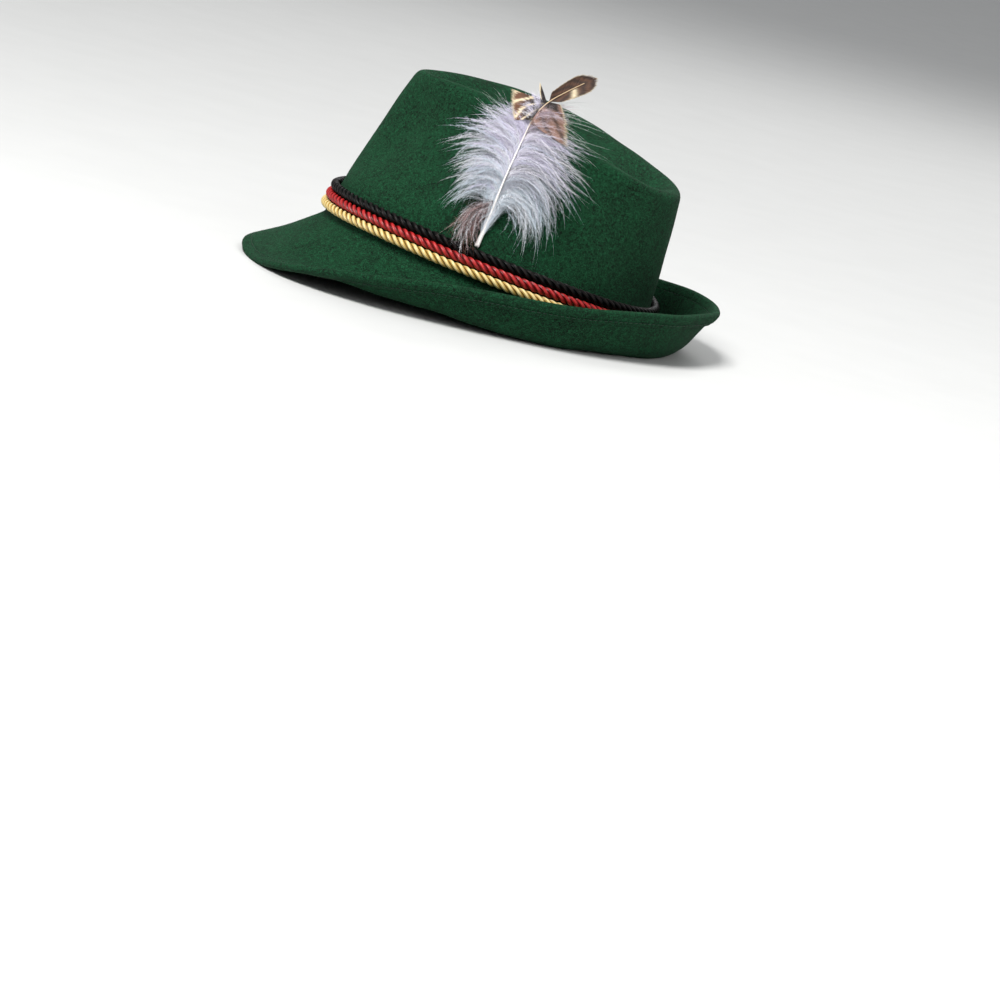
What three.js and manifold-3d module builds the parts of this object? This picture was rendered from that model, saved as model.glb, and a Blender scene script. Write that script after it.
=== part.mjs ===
// A Tyrolean hat of green wool felt: one felt body with a pinched crown and a
// snapped brim, three twisted cords round the crown and a downy feather.
// Millimetres, +Z up. The hat rests on its brim on the plane z = 0, with its
// front towards -X and the side that carries the feather towards -Y.

import * as THREE from 'three';
import { mergeVertices } from 'three/addons/utils/BufferGeometryUtils.js';
import Module from 'manifold-3d';

// Felt body
const HEAD_LENGTH = 197; // inside the crown at its foot, front to back
const HEAD_WIDTH = 165; // the same, side to side
const FELT = 2.2; // one thickness of felt
const CROWN_HEIGHT = 106; // foot to the ridge's highest corner
const FOOT_SADDLE = 5; // how far the foot rises from front and back to the sides
const RIDGE_ROUND = 11; // how far the ridge's rounding reaches down the wall
const TOP_DENT = 17; // depth of the teardrop dent below the ridge
const PINCH_DEPTH = 13; // depth of the two finger dents beside the front
const BRIM_WIDTH = 58; // along the felt, from the crown's foot to the edge
const FOOT_ROUND = 6; // length of felt that turns from the wall into the brim
const HEM_WIDTH = 7; // edge turned under and stitched
const REST_FLAT = 0.7; // how far the brim's lowest felt is pressed flat

// Cords, from the brim up
const CORD_DIAMETER = 5.4;
const CORD_SEAT = 0.3; // clearance between a cord and what it lies on
const CORD_FOOT = 0.6; // lowest cord above the crown's foot

// Feather: quill and down in one piece, its barred vane in another
const FEATHER_ANGLE = 92; // degrees from the front to the quill's cut end
const FEATHER_LENGTH = 127;
const FEATHER_SEAT = 0.3; // clearance between the feather and the hat
const QUILL_WIDTH = 3.4; // at the cut end
const SHAFT_TIP_WIDTH = 1;
const SHAFT_LEAN = 1; // towards the back, in degrees
const SHAFT_TIP_LEAN = 27;
const SHAFT_LIFT = 12; // how far the down holds the shaft off the crown
const DOWN_REACH = 52; // longest lock of down
const DOWN_CORE_WIDTH = 30; // dense down beside the shaft
const DOWN_CORE_THICKNESS = 9;
const LOCK_WIDTH = 9;
const LOCK_THICKNESS = 4;
const VANE_THICKNESS = 1;
const VANE_GAP = 0.3; // between the vane and the down and lower shaft

// How finely the solids are faceted
const AROUND = 60;
const CORD_SIDES = 6;
const SHAFT_SIDES = 6;

// Sections of the crown by angle from the front, as shares. along and across
// place the ridge inside the oval of the crown's foot, height is its share of
// CROWN_HEIGHT, foot the share of FOOT_SADDLE by which the foot is raised there
// and pinch the share of PINCH_DEPTH.
const CROWN_SECTIONS = [
  { angle: 0, along: 0.77, across: 0.4, height: 0.945, foot: 0, pinch: 0 },
  { angle: 30, along: 0.78, across: 0.5, height: 0.965, foot: 0.35, pinch: 0.95 },
  { angle: 60, along: 0.8, across: 0.56, height: 0.99, foot: 0.85, pinch: 0.8 },
  { angle: 90, along: 0.84, across: 0.62, height: 0.985, foot: 1, pinch: 0 },
  { angle: 120, along: 0.88, across: 0.7, height: 0.925, foot: 0.8, pinch: 0 },
  { angle: 150, along: 0.91, across: 0.78, height: 0.863, foot: 0.3, pinch: 0 },
  { angle: 180, along: 0.91, across: 0.8, height: 0.84, foot: 0, pinch: 0 },
];

// Sections of the brim by angle from the front. width is a share of BRIM_WIDTH,
// droop the slope of the inner part below the crown's foot and rise the slope
// at the edge, in degrees, and turn the share of the width where the felt turns
// from one to the other.
const BRIM_SECTIONS = [
  { angle: 0, width: 0.95, droop: 41, rise: -34, turn: 0.6 },
  { angle: 30, width: 0.96, droop: 47, rise: -30, turn: 0.62 },
  { angle: 60, width: 0.99, droop: 49, rise: 22, turn: 0.61 },
  { angle: 90, width: 1, droop: 49, rise: 60, turn: 0.54 },
  { angle: 120, width: 1, droop: 40, rise: 72, turn: 0.47 },
  { angle: 150, width: 1, droop: 20, rise: 74, turn: 0.41 },
  { angle: 180, width: 1, droop: 9, rise: 70, turn: 0.38 },
];
const SECTION_STEP = 30;

// Down by station, the share of the feather's length from the cut end. left and
// right are the directions in which the locks leave the shaft, in degrees from
// the shaft's own. On each side reach is a share of DOWN_REACH, and curl is how
// many degrees a lock turns towards the cut end on its way.
const DOWN_SECTIONS = [
  { station: 0.24, left: -140, leftReach: 0.62, leftCurl: 8, right: 84, rightReach: 0.76, rightCurl: 60 },
  { station: 0.35, left: -112, leftReach: 0.74, leftCurl: 26, right: 76, rightReach: 0.9, rightCurl: 52 },
  { station: 0.46, left: -84, leftReach: 0.76, leftCurl: 30, right: 66, rightReach: 0.9, rightCurl: 36 },
  { station: 0.57, left: -60, leftReach: 0.68, leftCurl: 20, right: 56, rightReach: 0.78, rightCurl: 24 },
  { station: 0.66, left: -42, leftReach: 0.42, leftCurl: 8, right: 42, rightReach: 0.52, rightCurl: 10 },
];
const LOCKS = 8; // on each side, in each of two layers

// Lobes of the barred vane: station and direction as above, length and width as
// shares of the feather's length
const VANE_LOBES = [
  { station: 0.74, turn: -72, length: 0.126, width: 0.087 },
  { station: 0.74, turn: 88, length: 0.118, width: 0.118 },
  { station: 0.82, turn: 3, length: 0.197, width: 0.071 },
];
const VANE_START = 0.7; // station where the shaft passes from down to vane

const halfLength = HEAD_LENGTH / 2 + FELT;
const halfWidth = HEAD_WIDTH / 2 + FELT;

const { degToRad, lerp, clamp, smoothstep } = THREE.MathUtils;

// One column of a section table at any angle round the hat, in radians from the
// front: a smooth curve through the rows, the same on both sides of the hat.
function column(rows, name, angle) {
  const turn = Math.abs(Math.atan2(Math.sin(angle), Math.cos(angle)));
  const place = THREE.MathUtils.radToDeg(turn) / SECTION_STEP;
  const last = rows.length - 1;
  const row = Math.min(Math.floor(place), last - 1);
  const value = (n) => rows[n < 0 ? -n : n > last ? 2 * last - n : n][name];
  const share = place - row;
  const [a, b, c, d] = [value(row - 1), value(row), value(row + 1), value(row + 2)];
  const curve = 2 * a - 5 * b + 4 * c - d + (3 * (b - c) + d - a) * share;
  return b + 0.5 * share * (c - a + share * curve);
}

// Foot of the crown: an oval that rises at the sides, with its front and back at
// z = 0 of the hat's own frame
function footPoint(angle) {
  const rise = FOOT_SADDLE * column(CROWN_SECTIONS, 'foot', angle);
  return new THREE.Vector3(-halfLength * Math.cos(angle), -halfWidth * Math.sin(angle), rise);
}

// Level direction square to that oval, pointing away from the head
function outward(angle) {
  const x = -Math.cos(angle) / halfLength;
  const y = -Math.sin(angle) / halfWidth;
  return new THREE.Vector3(x, y, 0).normalize();
}

// Corner in which wall and top dent would meet if the ridge weren't rounded
function ridgeCorner(angle) {
  const along = column(CROWN_SECTIONS, 'along', angle);
  const across = column(CROWN_SECTIONS, 'across', angle);
  const height = column(CROWN_SECTIONS, 'height', angle);
  const foot = footPoint(angle);
  return new THREE.Vector3(foot.x * along, foot.y * across, CROWN_HEIGHT * height);
}

// Wall of the crown before it is pinched: slightly bowed from foot to ridge
const WALL_BOW = { lean: 0.42, height: 0.56 };
function wallCurve(angle) {
  const foot = footPoint(angle);
  const corner = ridgeCorner(angle);
  const bow = foot.clone().lerp(corner, WALL_BOW.lean);
  bow.z = lerp(foot.z, corner.z, WALL_BOW.height);
  return new THREE.QuadraticBezierCurve3(foot, bow, corner);
}

// How far the wall is pinched in, share running from its foot to its ridge
const PINCH_START = 0.2;
const PINCH_PEAK = 1 / 16; // highest value of u * u * (1 - u) * (1 - u)
function pinchAt(angle, share) {
  const u = clamp((share - PINCH_START) / (1 - PINCH_START), 0, 1);
  const depth = PINCH_DEPTH * column(CROWN_SECTIONS, 'pinch', angle);
  return (depth * u * u * (1 - u) * (1 - u)) / PINCH_PEAK;
}

function wallPoint(angle, share) {
  const point = wallCurve(angle).getPoint(share);
  return point.addScaledVector(outward(angle), -pinchAt(angle, share));
}

// Floor of the top dent ends in a line along the hat's middle
const SPINE = { front: 0.4, back: 0.52 };
const DENT_FOOT = 0.55; // where the dent's slope ends, from ridge to middle line
const RIDGE_IN = 0.45; // where the ridge's rounding ends on that slope
const SLOPE_END = 0.6; // where the slope begins to round into the floor
const FLOOR_START = 0.45; // where that rounding ends, from slope to middle line
function spinePoint(angle) {
  const middle = (SPINE.back - SPINE.front) / 2;
  const reach = (SPINE.back + SPINE.front) / 2;
  const x = halfLength * (middle - reach * Math.cos(angle));
  return new THREE.Vector3(x, 0, ridgeCorner(angle).z - TOP_DENT);
}

// Points down one section of the crown's outer face, from the middle of the
// top dent over the ridge to the foot
const FLOOR_ROWS = [0, 0.5];
const DENT_ROWS = [0, 0.5, 1];
const RIDGE_ROWS = [0, 0.22, 0.42, 0.6, 0.8, 1];
const WALL_ROWS = 8;
function crownSection(angle) {
  const corner = ridgeCorner(angle);
  const spine = spinePoint(angle);
  const wall = wallCurve(angle);
  const wallTop = 1 - RIDGE_ROUND / wall.getLength();
  const dentFoot = corner.clone().lerp(spine, DENT_FOOT).setZ(spine.z);
  const ridgeIn = corner.clone().lerp(dentFoot, RIDGE_IN);
  const slopeEnd = corner.clone().lerp(dentFoot, SLOPE_END);
  const floorStart = dentFoot.clone().lerp(spine, FLOOR_START);
  const points = FLOOR_ROWS.map((s) => spine.clone().lerp(floorStart, s));
  const foot = new THREE.QuadraticBezierCurve3(floorStart, dentFoot, slopeEnd);
  DENT_ROWS.forEach((s) => points.push(foot.getPoint(s)));
  const ridge = new THREE.QuadraticBezierCurve3(ridgeIn, corner, wall.getPoint(wallTop));
  RIDGE_ROWS.forEach((s) => {
    const pinched = pinchAt(angle, wallTop) * s * s;
    points.push(ridge.getPoint(s).addScaledVector(outward(angle), -pinched));
  });
  for (let n = 1; n <= WALL_ROWS; n++) {
    points.push(wallPoint(angle, wallTop * (1 - n / WALL_ROWS)));
  }
  return points;
}

function brimWidth(angle) {
  return BRIM_WIDTH * column(BRIM_SECTIONS, 'width', angle);
}

// Slope of the brim at a distance along its felt from the crown's foot
const TURN_SPAN = 0.5; // share of the brim's width over which it turns up
const WALL_SLOPE = -78;
function brimSlope(angle, distance) {
  const width = brimWidth(angle);
  const droop = -column(BRIM_SECTIONS, 'droop', angle);
  const rise = column(BRIM_SECTIONS, 'rise', angle);
  const turn = column(BRIM_SECTIONS, 'turn', angle) * width;
  const half = (TURN_SPAN * width) / 2;
  const inner = lerp(WALL_SLOPE, droop, smoothstep(distance, 0, FOOT_ROUND));
  return degToRad(lerp(inner, rise, smoothstep(distance, turn - half, turn + half)));
}

// Points out along one section of the brim's upper face
const BRIM_ROWS = [0.04, 0.08, 0.14, 0.24, 0.34, 0.43, 0.52, 0.61, 0.7, 0.79];
const WALK_STEP = 0.5;
function brimSection(angle) {
  const width = brimWidth(angle);
  const stops = BRIM_ROWS.map((share) => share * width);
  stops.push(width - HEM_WIDTH, width - FELT);
  const out = outward(angle);
  const place = footPoint(angle);
  const points = [];
  let walked = 0;
  for (const stop of stops) {
    const steps = Math.ceil((stop - walked) / WALK_STEP);
    const step = (stop - walked) / steps;
    for (let n = 0; n < steps; n++) {
      const slope = brimSlope(angle, walked + step / 2);
      place.addScaledVector(out, step * Math.cos(slope));
      place.z += step * Math.sin(slope);
      walked += step;
    }
    points.push(place.clone());
  }
  return points;
}

// The whole upper face as columns of points, and its normal at each of them
const angles = Array.from({ length: AROUND }, (_, n) => (n / AROUND) * 2 * Math.PI);
const upperFace = angles.map((angle) => [...crownSection(angle), ...brimSection(angle)]);
const lastRow = upperFace[0].length - 1;
const hemRow = lastRow - 1;
const upperNormals = upperFace.map((points, n) => {
  const before = upperFace[(n + AROUND - 1) % AROUND];
  const after = upperFace[(n + 1) % AROUND];
  return points.map((point, row) => {
    if (row === 0) return new THREE.Vector3(0, 0, 1);
    const along = points[Math.min(row + 1, lastRow)].clone().sub(points[row - 1]);
    const round = after[row].clone().sub(before[row]);
    return along.cross(round).normalize();
  });
});

// Rows of the felt's closed shell: the upper face, the rounded edge, then the
// under face with the hem's double thickness and the step where it is stitched
const UNDER_SKIP = [1, 3, 6, 8, 13, 15, 17, 19, 21];
function shellColumn(n) {
  const points = upperFace[n];
  const under = (row, depth) =>
    points[row].clone().addScaledVector(upperNormals[n][row], -depth);
  const edge = points[lastRow];
  const outwards = edge.clone().sub(points[hemRow]).normalize();
  const roundEdge = [-0.3, -1, -1.7].map((share) => {
    const reach = FELT * Math.sqrt(1 - (share + 1) ** 2);
    return under(lastRow, -share * FELT).addScaledVector(outwards, reach);
  });
  const hem = [lastRow, hemRow].map((row) => under(row, 2 * FELT));
  const rows = [...points.keys()].reverse().slice(1);
  const rest = rows.filter((row) => !UNDER_SKIP.includes(row)).map((row) => under(row, FELT));
  return [...points, ...roundEdge, ...hem, ...rest];
}
const shell = angles.map((_, n) => shellColumn(n));

// Tilt at which the brim's front and back both stand on a level surface
const MOST_TILT = 20;
const BISECTIONS = 40;
function restingTilt(points) {
  const lowest = (side, tilt) => {
    const half = points.filter((p) => p.x * side > 0);
    return Math.min(...half.map((p) => p.z * Math.cos(tilt) - p.x * Math.sin(tilt)));
  };
  let [low, high] = [degToRad(-MOST_TILT), degToRad(MOST_TILT)];
  for (let n = 0; n < BISECTIONS; n++) {
    const middle = (low + high) / 2;
    if (lowest(-1, middle) < lowest(1, middle)) low = middle;
    else high = middle;
  }
  return { tilt: low, lift: -lowest(1, low) };
}
const rest = restingTilt(shell.flat());

// Surface that the hat stands on, in the hat's own frame. Felt that would lie
// below it is pressed flat.
const floorNormal = new THREE.Vector3(-Math.sin(rest.tilt), 0, Math.cos(rest.tilt));
const floorPlane = new THREE.Plane(floorNormal, rest.lift - REST_FLAT);
shell.flat().forEach((point) => {
  const height = floorPlane.distanceToPoint(point);
  if (height < 0) point.addScaledVector(floorNormal, -height);
});

// Closed mesh from columns of points. The first and last row are folded onto
// themselves, so they need no caps. The diagonals mirror from quarter to quarter
// and from the outer rows to the inner ones.
function closedGrid(columns) {
  const corners = [];
  const rows = columns[0].length;
  columns.forEach((here, n) => {
    const next = columns[(n + 1) % columns.length];
    const oddQuarter = Math.floor((4 * n) / columns.length) % 2 === 1;
    for (let row = 0; row < rows - 1; row++) {
      const quad = [here[row], here[row + 1], next[row + 1], next[row]];
      const inner = row >= rows / 2;
      if (oddQuarter !== inner) quad.push(quad.shift());
      corners.push(quad[0], quad[1], quad[2], quad[0], quad[2], quad[3]);
    }
  });
  return dropSlivers(new THREE.BufferGeometry().setFromPoints(corners));
}

// Merges the corners that meet and leaves out the triangles that this empties
function dropSlivers(geometry) {
  const merged = mergeVertices(geometry, 1e-3);
  const index = merged.index.array;
  const kept = [];
  for (let n = 0; n < index.length; n += 3) {
    const [a, b, c] = index.slice(n, n + 3);
    if (a !== b && b !== c && c !== a) kept.push(a, b, c);
  }
  merged.setIndex(kept);
  return merged;
}

function piece(name, geometry, colour, roughness) {
  geometry.computeVertexNormals();
  const material = new THREE.MeshStandardMaterial({ color: colour, roughness, metalness: 0 });
  const mesh = new THREE.Mesh(geometry, material);
  mesh.name = name;
  return mesh;
}

// Cords: closed rings that follow the crown's wall, one above the other
function cordRing(order) {
  const radius = CORD_DIAMETER / 2;
  const up = CORD_FOOT + radius + order * (CORD_DIAMETER + CORD_SEAT);
  const columns = angles.map((angle) => {
    const wall = wallCurve(angle);
    const share = wall.getUtoTmapping(0, up);
    const along = wall.getTangent(share);
    const away = outward(angle);
    const lean = away.clone().addScaledVector(along, -away.dot(along)).normalize();
    const centre = wall.getPoint(share).addScaledVector(lean, radius + CORD_SEAT);
    return Array.from({ length: CORD_SIDES + 1 }, (_, n) => {
      const turn = (n / CORD_SIDES) * 2 * Math.PI;
      const spoke = lean.clone().multiplyScalar(Math.cos(turn));
      spoke.addScaledVector(along, -Math.sin(turn));
      return centre.clone().addScaledVector(spoke, radius);
    });
  });
  return closedGrid(columns);
}

// Where the feather lies, from the crown's wall: around is the distance towards
// the back from the line of the cut end, up the distance along the wall from
// its foot and off the distance away from it
const featherLine = degToRad(FEATHER_ANGLE);
const featherWall = wallCurve(featherLine).getLength();
function besideWall(around, up, off) {
  const share = up / featherWall;
  const shrink = lerp(1, column(CROWN_SECTIONS, 'along', featherLine), share);
  const angle = featherLine + around / (halfLength * shrink);
  return wallCurve(angle).getPoint(share).addScaledVector(outward(angle), off);
}

// Stations of the shaft, walked along its leaning line
const quillFoot = CORD_FOOT + 3 * (CORD_DIAMETER + CORD_SEAT);
const SHAFT_STEPS = 20;
const SHAFT_BEND = { from: 0.58, to: 0.86 }; // stations between which it leans over
const SHAFT_RISE = { from: 0.06, to: 0.4 }; // and between which it leaves the wall
const shaftStops = [{ around: 0, up: quillFoot }];
for (let n = 0; n < SHAFT_STEPS; n++) {
  const bend = smoothstep((n + 0.5) / SHAFT_STEPS, SHAFT_BEND.from, SHAFT_BEND.to);
  const lean = degToRad(lerp(SHAFT_LEAN, SHAFT_TIP_LEAN, bend));
  const from = shaftStops[n];
  const step = FEATHER_LENGTH / SHAFT_STEPS;
  const around = from.around + step * Math.sin(lean);
  shaftStops.push({ around, up: from.up + step * Math.cos(lean) });
}
function shaftAt(station) {
  const place = clamp(station, 0, 1) * SHAFT_STEPS;
  const n = Math.min(Math.floor(place), SHAFT_STEPS - 1);
  const [from, to] = [shaftStops[n], shaftStops[n + 1]];
  const around = lerp(from.around, to.around, place - n);
  const up = lerp(from.up, to.up, place - n);
  const width = lerp(QUILL_WIDTH, SHAFT_TIP_WIDTH, Math.sqrt(station));
  const seat = QUILL_WIDTH / 2 + FEATHER_SEAT;
  const lift = smoothstep(station, SHAFT_RISE.from, SHAFT_RISE.to);
  const lean = Math.atan2(to.around - from.around, to.up - from.up);
  return { around, up, off: lerp(seat, SHAFT_LIFT, lift), width, lean };
}

// Closed body lofted through flat sections. Each section has its middle beside
// the wall, the direction it faces along the wall, and its half width and half
// thickness.
function loft(sections, sides) {
  const turns = Array.from({ length: sides }, (_, n) => (n / sides) * 2 * Math.PI);
  const rings = sections.map((section) =>
    turns.map((turn) => {
      const side = section.half * Math.cos(turn);
      const around = section.around + side * Math.cos(section.lean);
      const up = section.up - side * Math.sin(section.lean);
      return besideWall(around, up, section.off + section.depth * Math.sin(turn));
    }));
  const ends = [sections[0], sections.at(-1)].map((s) => besideWall(s.around, s.up, s.off));
  const columns = turns.map((_, n) => [ends[0], ...rings.map((ring) => ring[n]), ends[1]]);
  return closedGrid(columns);
}

function shaftBody(start, end, steps, grow) {
  const sections = Array.from({ length: steps + 1 }, (_, n) => {
    const at = shaftAt(lerp(start, end, n / steps));
    return { ...at, half: at.width / 2 + grow, depth: at.width / 2 + grow };
  });
  return loft(sections, SHAFT_SIDES);
}

// Value of the down's table at a station
function downAt(name, station) {
  const inner = DOWN_SECTIONS.slice(1, -1);
  const row = inner.filter((section) => section.station < station).length;
  const [from, to] = DOWN_SECTIONS.slice(row, row + 2);
  return lerp(from[name], to[name], (station - from.station) / (to.station - from.station));
}

// A lock of down: a tapering blade that leaves the shaft and turns as it goes
const LOCK_STOPS = [0, 0.4, 0.75, 1];
const LOCK_FULLNESS = [0.5, 1, 0.75, 0.12];
const LOCK_STAND = 2; // how far an outer lock's tip stands off the shaft
const LOCK_SIDES = 4;
function lock(station, side, layer) {
  const at = shaftAt(station);
  const name = side < 0 ? 'left' : 'right';
  const turn = downAt(name, station);
  const reach = DOWN_REACH * downAt(`${name}Reach`, station);
  const curl = side * degToRad(downAt(`${name}Curl`, station));
  let lean = at.lean + degToRad(turn);
  let { around, up } = at;
  let from = 0;
  const clear = LOCK_THICKNESS / 2 + FEATHER_SEAT;
  const sections = LOCK_STOPS.map((share, n) => {
    lean += curl * (share - from);
    around += reach * (share - from) * Math.sin(lean);
    up += reach * (share - from) * Math.cos(lean);
    from = share;
    const off = lerp(at.off - LOCK_THICKNESS / 2, layer ? at.off + LOCK_STAND : clear, share);
    const full = LOCK_FULLNESS[n];
    const half = (LOCK_WIDTH * full) / 2;
    return { around, up, off, lean, half, depth: (LOCK_THICKNESS * full) / 2 };
  });
  return loft(sections, LOCK_SIDES);
}

// Dense down beside the shaft, an egg that lies mostly behind it
const CORE_STOPS = [0, 0.15, 0.35, 0.6, 0.85, 1];
const CORE_END = 0.68; // its upper end, as a station
const CORE_BLUNT = 0.02; // keeps its ends from closing to a point
const CORE_BEHIND = 0.4; // share of its thickness by which it lies behind
const CORE_SIDES = 10;
function downCore() {
  const sections = CORE_STOPS.map((share) => {
    const at = shaftAt(lerp(DOWN_SECTIONS[0].station, CORE_END, share));
    const full = Math.sqrt(Math.max(CORE_BLUNT, 1 - (2 * share - 1) ** 2));
    const half = (DOWN_CORE_WIDTH * full) / 2;
    const depth = (DOWN_CORE_THICKNESS * full) / 2;
    return { ...at, off: at.off - CORE_BEHIND * DOWN_CORE_THICKNESS, half, depth };
  });
  return loft(sections, CORE_SIDES);
}

// Lobe of the vane: a thin leaf that is broadest two thirds of the way out
const LOBE_STOPS = [0, 0.3, 0.65, 0.9, 1];
const LOBE_FULLNESS = [0.5, 0.85, 1, 0.7, 0.3];
const LOBE_SIDES = 6;
function lobe(row, grow) {
  const at = shaftAt(row.station);
  const lean = at.lean + degToRad(row.turn);
  const length = FEATHER_LENGTH * row.length;
  const width = FEATHER_LENGTH * row.width;
  const sections = LOBE_STOPS.map((share, n) => ({
    around: at.around + length * share * Math.sin(lean),
    up: at.up + length * share * Math.cos(lean),
    off: at.off,
    lean,
    half: (width * LOBE_FULLNESS[n]) / 2 + grow,
    depth: VANE_THICKNESS / 2 + grow,
  }));
  return loft(sections, LOBE_SIDES);
}

// Union of closed bodies
const wasm = await Module();
wasm.setup();
function union(geometries) {
  const solids = geometries.map((geometry) => {
    const numProp = 3;
    const vertProperties = new Float32Array(geometry.attributes.position.array);
    const triVerts = new Uint32Array(geometry.index.array);
    return new wasm.Manifold(new wasm.Mesh({ numProp, vertProperties, triVerts }));
  });
  return solids.reduce((sum, next) => sum.add(next));
}

// Outer shell of a solid's largest piece, which fills the small pockets that
// its bodies close off between them
function largestShell(whole) {
  const shells = whole.decompose().sort((a, b) => b.volume() - a.volume());
  const { vertProperties, triVerts } = shells[0].getMesh();
  const geometry = new THREE.BufferGeometry();
  geometry.setAttribute('position', new THREE.BufferAttribute(vertProperties, 3));
  geometry.setIndex(new THREE.BufferAttribute(triVerts, 1));
  return geometry;
}

const VANE_STEPS = 6;
function vane(grow) {
  const start = VANE_START + (VANE_GAP - grow) / FEATHER_LENGTH;
  return union([shaftBody(start, 1, VANE_STEPS, grow), ...VANE_LOBES.map((row) => lobe(row, grow))]);
}

const QUILL_STEPS = 10;
function plume() {
  const bodies = [shaftBody(0, VANE_START, QUILL_STEPS, 0), downCore()];
  const [first, last] = [DOWN_SECTIONS[0].station, DOWN_SECTIONS.at(-1).station];
  for (const side of [-1, 1]) {
    for (const layer of [0, 1]) {
      for (let n = 0; n < LOCKS; n++) {
        bodies.push(lock(lerp(first, last, (n + layer / 2) / LOCKS), side, layer));
      }
    }
  }
  return union(bodies).subtract(vane(VANE_GAP));
}

const hat = new THREE.Group();
hat.rotation.y = rest.tilt;
hat.position.z = rest.lift - REST_FLAT;
hat.add(piece('felt_body', closedGrid(shell), '#17492b', 0.95));
hat.add(piece('cord_gold', cordRing(0), '#d8b44c', 0.4));
hat.add(piece('cord_red', cordRing(1), '#b3161f', 0.4));
hat.add(piece('cord_black', cordRing(2), '#0c0c0e', 0.4));
hat.add(piece('feather_plume', largestShell(plume()), '#d9d6df', 0.8));
hat.add(piece('feather_vane', largestShell(vane(0)), '#6b4a35', 0.7));

const part = new THREE.Group();
part.add(hat);
const middle = new THREE.Box3().setFromObject(part, true).getCenter(new THREE.Vector3());
hat.position.x -= middle.x;
hat.position.y -= middle.y;
export default part;
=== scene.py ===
# %% [markdown]
# A Tyrolean hat of green felt, with three twisted cords and a downy feather.
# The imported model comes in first, as a fixed frame of six plain solids at their real places.
# Each piece made below is laid over one of them, in metres, with its place in its own mesh.

# %% Load the frame
import math
import bmesh
import bpy
import numpy as np
from mathutils import Matrix, Vector


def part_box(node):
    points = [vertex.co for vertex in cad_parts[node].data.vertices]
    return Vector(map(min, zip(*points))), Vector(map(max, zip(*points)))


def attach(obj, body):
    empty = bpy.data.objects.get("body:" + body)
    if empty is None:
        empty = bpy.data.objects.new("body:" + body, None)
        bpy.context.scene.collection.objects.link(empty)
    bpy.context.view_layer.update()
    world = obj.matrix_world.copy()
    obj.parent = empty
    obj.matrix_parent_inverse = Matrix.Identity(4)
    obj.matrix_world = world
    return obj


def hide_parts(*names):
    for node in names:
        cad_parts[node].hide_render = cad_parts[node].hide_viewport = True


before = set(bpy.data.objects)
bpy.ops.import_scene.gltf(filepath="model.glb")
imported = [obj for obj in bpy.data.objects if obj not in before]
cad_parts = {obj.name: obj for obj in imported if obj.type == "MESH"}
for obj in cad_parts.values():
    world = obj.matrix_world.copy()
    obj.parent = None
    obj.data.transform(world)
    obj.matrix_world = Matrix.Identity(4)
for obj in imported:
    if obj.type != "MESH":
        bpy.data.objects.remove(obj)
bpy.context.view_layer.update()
print("frame nodes:", ", ".join(sorted(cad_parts)))

# %% [markdown]
# The photograph looks at the side that carries the feather, a little from the front and a
# little from above, through a long lens, with the picture rolled. A camera can be turned until
# the picture fits, but it is surer to work it out: the hat's middle, the distance and the size
# of a pixel give the lens, and one small turn then moves the hat to its place in the picture.

# %% Camera
IMAGE = 1000  # pixels on each side of the picture
SENSOR = 36  # millimetres
DISTANCE = 2.5
PIXEL = 0.000592  # metres that a pixel covers at the hat
AZIMUTH = math.radians(10)
ELEVATION = math.radians(7)
ROLL = math.radians(13.3)
HAT_PIXEL = (499, 199)  # where the middle of the felt lies


def aim_camera(middle):
    """Camera at DISTANCE from middle. Its axes are the level view's, rolled, and then turned back
    by the least rotation that takes the view's axis to the direction of HAT_PIXEL."""
    level = Vector((math.cos(AZIMUTH), math.sin(AZIMUTH), 0))
    back = Vector((level.y, -level.x, 0)) * math.cos(ELEVATION) + Vector((0, 0, math.sin(ELEVATION)))
    upright = back.cross(level)
    right = level * math.cos(ROLL) + upright * math.sin(ROLL)
    up = upright * math.cos(ROLL) - level * math.sin(ROLL)
    step = PIXEL / DISTANCE
    place = Vector(((HAT_PIXEL[0] - IMAGE / 2) * step, (IMAGE / 2 - HAT_PIXEL[1]) * step, 1))
    turn = Vector((0, 0, 1)).rotation_difference(place.normalized()).to_matrix()
    axes = Matrix((right, up, -back)).transposed() @ turn.transposed()
    right, up, ahead = axes.col
    camera = bpy.data.objects.new("camera", bpy.data.cameras.new("camera"))
    bpy.context.scene.collection.objects.link(camera)
    camera.matrix_world = Matrix.Translation(middle + back * DISTANCE) @ (
        Matrix((right, up, -ahead)).transposed().to_4x4())
    camera.data.sensor_width = SENSOR
    camera.data.lens = SENSOR * DISTANCE / (IMAGE * PIXEL)
    return camera


felt_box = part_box("felt_body")
camera = aim_camera((felt_box[0] + felt_box[1]) / 2)
bpy.context.scene.camera = camera
print("camera height", round(camera.location.z, 3), "lens", round(camera.data.lens, 1))

# %% [markdown]
# Shaders are built from nodes, and sums of nodes are hard to read as node code. A small class
# that wraps a socket lets the sums be written as Python expressions. A second one holds a
# material and adds any other node, so that each finish below is a few plain lines.

# %% Wires between nodes
class Wire:
    """A socket that carries a value. Operators between wires and numbers add Math nodes."""

    def __init__(self, finish, socket):
        self.finish = finish
        self.socket = socket

    def math(self, operation, first, second=0.0):
        """A Math node on two wires or numbers."""
        return self.finish.node("ShaderNodeMath", {"operation": operation}, {0: first, 1: second})

    def __add__(self, other):
        return self.math("ADD", self, other)

    def __mul__(self, other):
        return self.math("MULTIPLY", self, other)

    def sine(self):
        return self.math("SINE", self)

    def cosine(self):
        return self.math("COSINE", self)

    __radd__ = __add__
    __rmul__ = __mul__


print("a wire can be added and multiplied, and has a sine and a cosine")


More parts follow.
